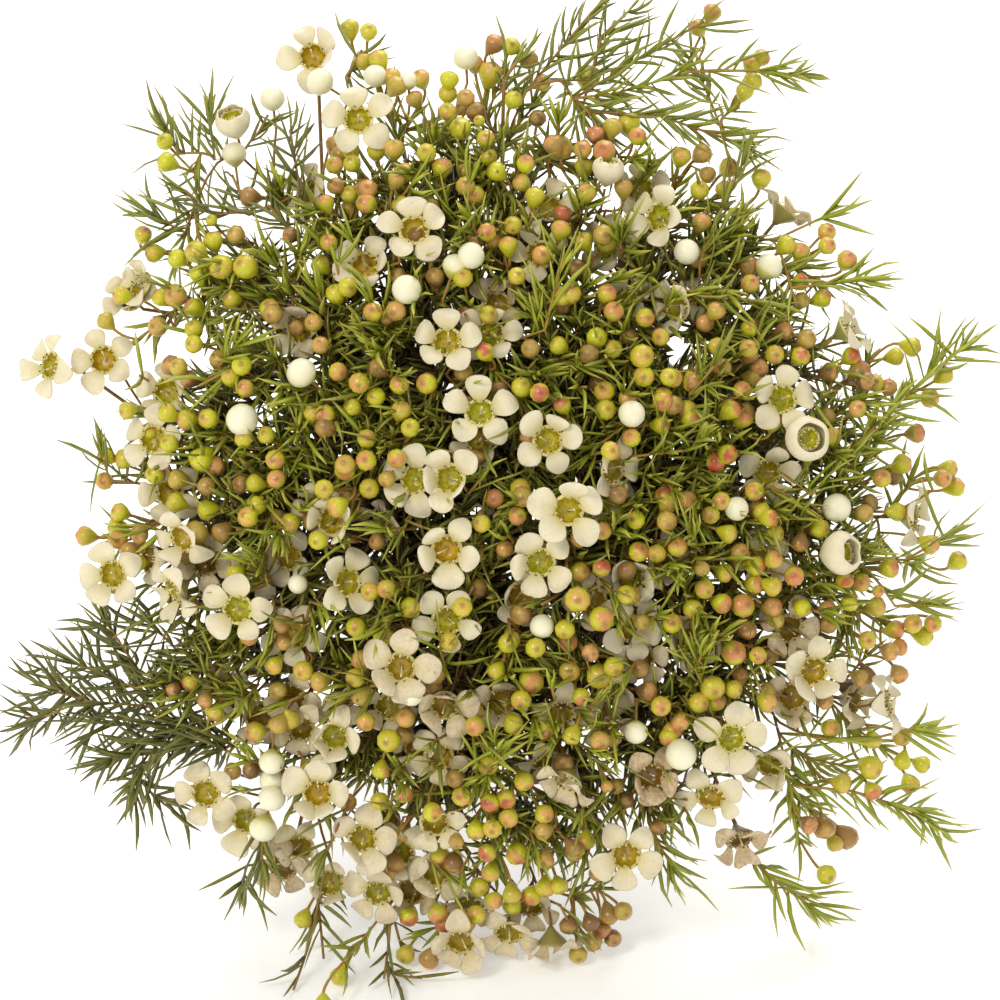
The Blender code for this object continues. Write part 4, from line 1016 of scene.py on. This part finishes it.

# Older buds that sit deeper, in the shade; their olive brown is ripeness and also painted shade of the
# depths
shadeBuds = {"count": 130, "spread": 92.0, "wander": 0.3, "depth": (7, 17), "size": (1.9, 2.6),
             "ripeness": (0.55, 1.0), "blush": (0.1, 0.6)}
for i in range(shadeBuds["count"]):
    base = spiralSpot(i, *(shadeBuds[key] for key in ("count", "spread", "wander", "depth")), 4)
    lean = unit(outwardAt(base) + 0.5 * rng.normal(size=3))
    base = clearOfPetals(base, lean * 2, 2.4)
    spray = grown[sprayOf(base)]
    spray.reach(np.array([base - lean * 3, base + lean * 0.4]), 0.4)
    size, ripe_and_shaded, blush = (rng.uniform(*shadeBuds[key]) for key in ("size", "ripeness", "blush"))
    spray.buds.append(np.concatenate([base, lean, [size, ripe_and_shaded, blush]]))

# White buds: the profile is of height and radius, as shares of the bud's radius
whiteLook = {"sides": 20, "profile": [
    (-0.62, 0.10), (-0.45, 0.36), (-0.2, 0.66), (0.05, 0.86), (0.12, 0.92), (0.35, 1.0), (0.7, 0.98),
    (1.05, 0.82), (1.3, 0.52), (1.4, 0.22), (1.41, 0.1)]}
for x, y, depth, width in whiteBuds:
    centre = place(x, y, depth + width * 0.6, 5)
    facing = unit(outwardAt(centre) + 0.4 * rng.normal(size=3))
    spray = grown[sprayOf(centre)]
    spray.reach(np.array([centre - facing * width * 1.2, centre - facing * width * 0.28]), 0.8)
    spray.whiteBuds.append(np.concatenate([centre, facing, [width / 2]]))

# Shorter leafy shoots fill the head between the flowers and behind them, in layers: how many, depths,
# freshness, dryness and reach from the axis. The dryness grows with depth: dead brown needles and also
# painted shade of the hollows, and it gives their twigs older, darker bark.
fillLook = {
    "from": np.array([0.0, 0.0, -100.0]), "wander": 0.2, "leafyLength": (14, 28), "layers": [
        (290, (4, 9), 0.65, 0.0, 90), (250, (10, 17), 0.45, 0.05, 86), (270, (16, 27), 0.25, 0.35, 80),
        (230, (27, 42), 0.1, 0.85, 70), (130, (42, 60), 0.1, 1.0, 52)],
}
for count, depths, fresh, dry, spread in fillLook["layers"]:
    for i in range(count):
        tip = spiralSpot(i, count, spread, fillLook["wander"], depths, 6)
        way = unit(tip - fillLook["from"]) + 0.35 * rng.normal(size=3)
        spray = grown[sprayOf(tip)]
        line = spray.reach(np.array([tip - unit(way) * 6, tip]), 0.6 * (1 - dry))
        length = rng.uniform(*fillLook["leafyLength"])
        leafy(spray, line, length, fresh + rng.normal(0, 0.15), 0.95, 4, 1.0, dry)
print("filling shoots done")


# Most needles that would hide a flower or a bud from in front are left out

choice = {                          # shares of such needles that stay
    "through": 0.03, "beforeBud": 0.2, "beforeWhiteBud": 0.05,
    "disc": (0.58, 2.4),            # of a flower: radius in its widths, and mm to either side
}


def pierces(tips, bases, flower):
    # a needle's points against the flower's disc: within its radius and near its plane
    hit = np.zeros(len(tips), bool)
    for share in (0.1, 0.3, 0.5, 0.7, 0.9, 1.0):
        away = bases + share * (tips - bases) - flower.centre
        height = away @ flower.facing
        aside = np.linalg.norm(away - height[:, None] * flower.facing, axis=1)
        hit |= (aside < choice["disc"][0] * flower.width) & (np.abs(height - 0.5) < choice["disc"][1])
    return hit


def standsBefore(tips, bases, target, radius, rise):
    # a needle's points, in the picture, against the target's disc, and nearer than the target
    hit = np.zeros(len(tips), bool)
    centre, span = seenAt(target), radius / head["pictureSpan"] * 1000
    for share in (0.25, 0.5, 0.75, 1.0):
        point = bases + share * (tips - bases)
        near = np.linalg.norm(seenAt(point) - centre, axis=1) < span
        hit |= near & (point[:, 2] > target[2] + rise)
    return hit


lowest = np.array(cadBox[0]) / mm - [2, 2, 0]       # needles stay this close to the solids' box
highest = np.array(cadBox[1]) / mm + 2
for spray in grown.values():
    rows = np.array(spray.needles)
    bases, tips = rows[:, :3], rows[:, 3:6]
    keep = np.ones(len(rows), bool)
    luck = rng.random(len(rows))
    for flower in flowers:
        away = 0.46 * flower.width * (0.8 if flower.deep else 1.0)
        keep &= ~(pierces(tips, bases, flower) & (luck > choice["through"]))
        keep &= ~(standsBefore(tips, bases, flower.centre, away, -2.0) & (luck > flower.cover))
    for other in grown.values():
        for row in other.buds:
            hides = standsBefore(tips, bases, row[:3] + row[3:6] * 2, row[6], 0)
            keep &= ~(hides & (luck > choice["beforeBud"]))
        for row in other.whiteBuds:
            hides = standsBefore(tips, bases, row[:3], row[6] * 1.1, 0)
            keep &= ~(hides & (luck > choice["beforeWhiteBud"]))
    ends = toWorld(tips) / mm
    keep &= (ends > lowest).all(1) & (ends < highest).all(1) & (ends[:, 2] > 0.4)
    spray.needles = rows[keep]
print("needles chosen")


def needleShells(rows):
    # the needle's line bends aside by sag t (1 - t), and its radius is about half at the base, full at
    # two fifths and fine at the tip
    t = np.linspace(0, 1, needleLook["rings"])
    bases, tips = rows[:, :3], rows[:, 3:6]
    length = np.linalg.norm(tips - bases, axis=1)
    side, _ = sidesOf(unit(tips - bases), rng.uniform(0, math.tau, len(rows)))
    sag = needleLook["bend"] * rng.uniform(-1, 1, len(rows)) * length
    lines = bases[:, None] + t[:, None] * (tips - bases)[:, None]
    lines = lines + (sag[:, None] * (t * (1 - t)))[..., None] * side[:, None]
    profile = np.interp(t, [0, 0.15, 0.4, 0.75, 1], [0.55, 0.85, 1.0, 0.85, 0.18])
    radii = profile * needleLook["radius"] * rows[:, 7:8] * rng.uniform(0.85, 1.1, (len(rows), 1))
    spin = rng.uniform(0, 6, len(rows))
    return tubes(lines, radii, needleLook["sides"], needleLook["flatness"], spin, 1.5)


def budShells(rows, look):
    # each bud turns the profile's heights and radii, times its size, about its own axis
    heights, radii = (part * rows[:, 6:7] for part in np.array(look["profile"]).T)
    return turned(rows[:, :3], rows[:, 3:6], heights, radii, look["sides"])


def sprayPiece(name, kind, finish, slotName, shells, **values):
    skin = Skin(f"{name}_{kind}")
    skin.add(shells, **values)
    skin.piece([finishes[finish]], [name])


totals = {"needles": 0, "buds": 0, "twigs": 0}
for name, spray in grown.items():
    shells = tubes(np.array(spray.lines), np.array(spray.radii), twigLook["sides"])
    sprayPiece(name, "twigs", "twig", "foliage", shells, young=np.array(spray.young))
    rows = spray.needles
    values = {"along": alongShell(needleLook["rings"], needleLook["sides"], len(rows)),
              "fresh": np.clip(rows[:, 6], 0, 1), "dry": rows[:, 8]}
    sprayPiece(name, "needles", "needle", "foliage", needleShells(rows), **values)
    rows = np.array(spray.buds)
    heights = np.array(budLook["profile"])[:, 0]
    values = {"along": alongShell(len(heights), budLook["sides"], len(rows), heights / heights[-1]),
              "ripeness": rows[:, 7], "blush": rows[:, 8]}
    sprayPiece(name, "buds", "bud", "foliage", budShells(rows, budLook), **values)
    if spray.whiteBuds:
        rows = np.array(spray.whiteBuds)
        along = alongShell(len(whiteLook["profile"]), whiteLook["sides"], len(rows))
        sprayPiece(name, "white_buds", "whiteBud", "petal", budShells(rows, whiteLook), along=along)
    deepSkin = Skin(name + "_deep_flowers")
    for flower in flowers:
        if flower.deep and sprayOf(flower.foot) == name:
            dress(deepSkin, flower)
    deepSkin.piece(flowerFinishes, [name])
    totals["needles"] += len(spray.needles)
    totals["buds"] += len(spray.buds)
    totals["twigs"] += len(spray.lines)
print("sprays done:", totals)


# Woody stem

stemLook = {
    "radius": 3.3, "top": -84.0, "taper": 0.72, "sides": 28, "rings": 120, "stubRadius": 1.2,
    "footDrop": 103.0,              # from the height of the head's middle down to the cut end's edge
    "wander": [(1.5, -1.0, -205), (-1.0, 1.0, -172), (1.0, 0.5, -140), (0, 0, -118), (0, 0, -100)],
}


def woodyStem():
    # r = the radius, tapered along the line, times 1 + two small waves; the foot is cut flat, and a
    # short stub leaves the axis for each spray
    foot = -(stemLook["footDrop"] - stemLook["radius"] * toTop[2]) / toEye[2]
    knots = np.array([(0, 0, foot)] + stemLook["wander"] + [(0, 0, stemLook["top"])], float)
    far = np.concatenate([[0], np.cumsum(np.linalg.norm(np.diff(knots, axis=0), axis=1))])
    at = np.linspace(0, far[-1], stemLook["rings"])
    line = np.stack([np.interp(at, far, knots[:, k]) for k in range(3)], -1)
    radii = np.linspace(stemLook["radius"], stemLook["radius"] * stemLook["taper"], len(line))
    rough = 1 + 0.02 * np.sin(at / 3.1) + 0.012 * np.sin(at / 1.3 + 1)
    radii = radii * rough * 0.985       # just inside the solid
    radii[0] = radii[1]
    skin = Skin("woody_stem")
    skin.add(tubes(line[None], radii[None], stemLook["sides"]), cut=0.0)
    end = np.stack([line[0] - (line[1] - line[0]) * 0.02, line[0] + (line[1] - line[0]) * 0.05])
    skin.add(tubes(end[None], np.array([[radii[0] * 0.9, radii[0] * 0.9]]), 24), cut=1.0)
    for name in sprays:
        start, after = limb(name)[0][:2]
        way = unit(after - start)
        low = start - way * np.linalg.norm(start[:2]) / np.linalg.norm(way[:2])
        t = np.linspace(0, 1, 8)[:, None]
        stub = low + t * (start + way * 0.9 - low)
        radius = np.linspace(stemLook["stubRadius"] * 1.3, twigLook["limbRadius"], 8)
        skin.add(tubes(stub[None], radius[None], 16), cut=0.0)
    skin.piece([finishes["stem"]], ["main_stem"])


woodyStem()
print("stem done")


# Camera, floor and light

def aimed(thing, spot, target, up):
    # local -z looks at the target and local y follows up
    back = unit(np.array(spot) - np.array(target))
    right = unit(np.cross(up, back))
    top = np.cross(back, right)
    rows = np.eye(4)
    rows[:3] = np.stack([right, top, back, spot], -1)
    thing.matrix_world = Matrix(rows.tolist())


scene = bpy.context.scene
camera = bpy.data.objects.new("camera", bpy.data.cameras.new("camera"))
scene.collection.objects.link(camera)
camera.data.sensor_width = 36
camera.data.lens = 36 * head["viewDistance"] / head["pictureSpan"]
camera.data.clip_start = 0.05
middle = headMiddle * mm
aimed(camera, middle + toEye * head["viewDistance"] * mm, middle, toTop)
scene.camera = camera

lights = {                          # place, size, power and colour
    "key": ((-0.75, -1.15, 1.25), 0.45, 11.0, (1.0, 0.96, 0.88)),
    "back": ((0.3, 0.9, 1.6), 1.2, 24.0, (1.0, 0.98, 0.95)),
}
for name, (spot, size, power, color) in lights.items():
    lamp = bpy.data.lights.new(name, "AREA")
    lamp.size, lamp.energy, lamp.color = size, power, color
    holder = bpy.data.objects.new(name, lamp)
    scene.collection.objects.link(holder)
    aimed(holder, spot, middle, np.array([0, 0, 1.0]))

world = bpy.data.worlds.new("studio")
scene.world = world
world.use_nodes = True
world.node_tree.nodes["Background"].inputs["Color"].default_value = (1, 1, 1, 1)
world.node_tree.nodes["Background"].inputs["Strength"].default_value = 0.72
scene.view_settings.view_transform = "Standard"

floorMesh = bpy.data.meshes.new("floor")
floorMesh.from_pydata([(-4, -4, 0), (4, -4, 0), (4, 4, 0), (-4, 4, 0)], [], [(0, 1, 2, 3)])
floor = bpy.data.objects.new("floor", floorMesh)
scene.collection.objects.link(floor)
paper = Finish("palePaper", 0.9, 0.1)
paper.color(paper.tones(paper.noise(40), (0.3, 248, 248, 246), (0.7, 252, 252, 250)))
paper.shader.inputs["Emission Color"].default_value = (1, 1, 1, 1)
paper.shader.inputs["Emission Strength"].default_value = 0.2
floorMesh.materials.append(paper.material)
print("stage done")
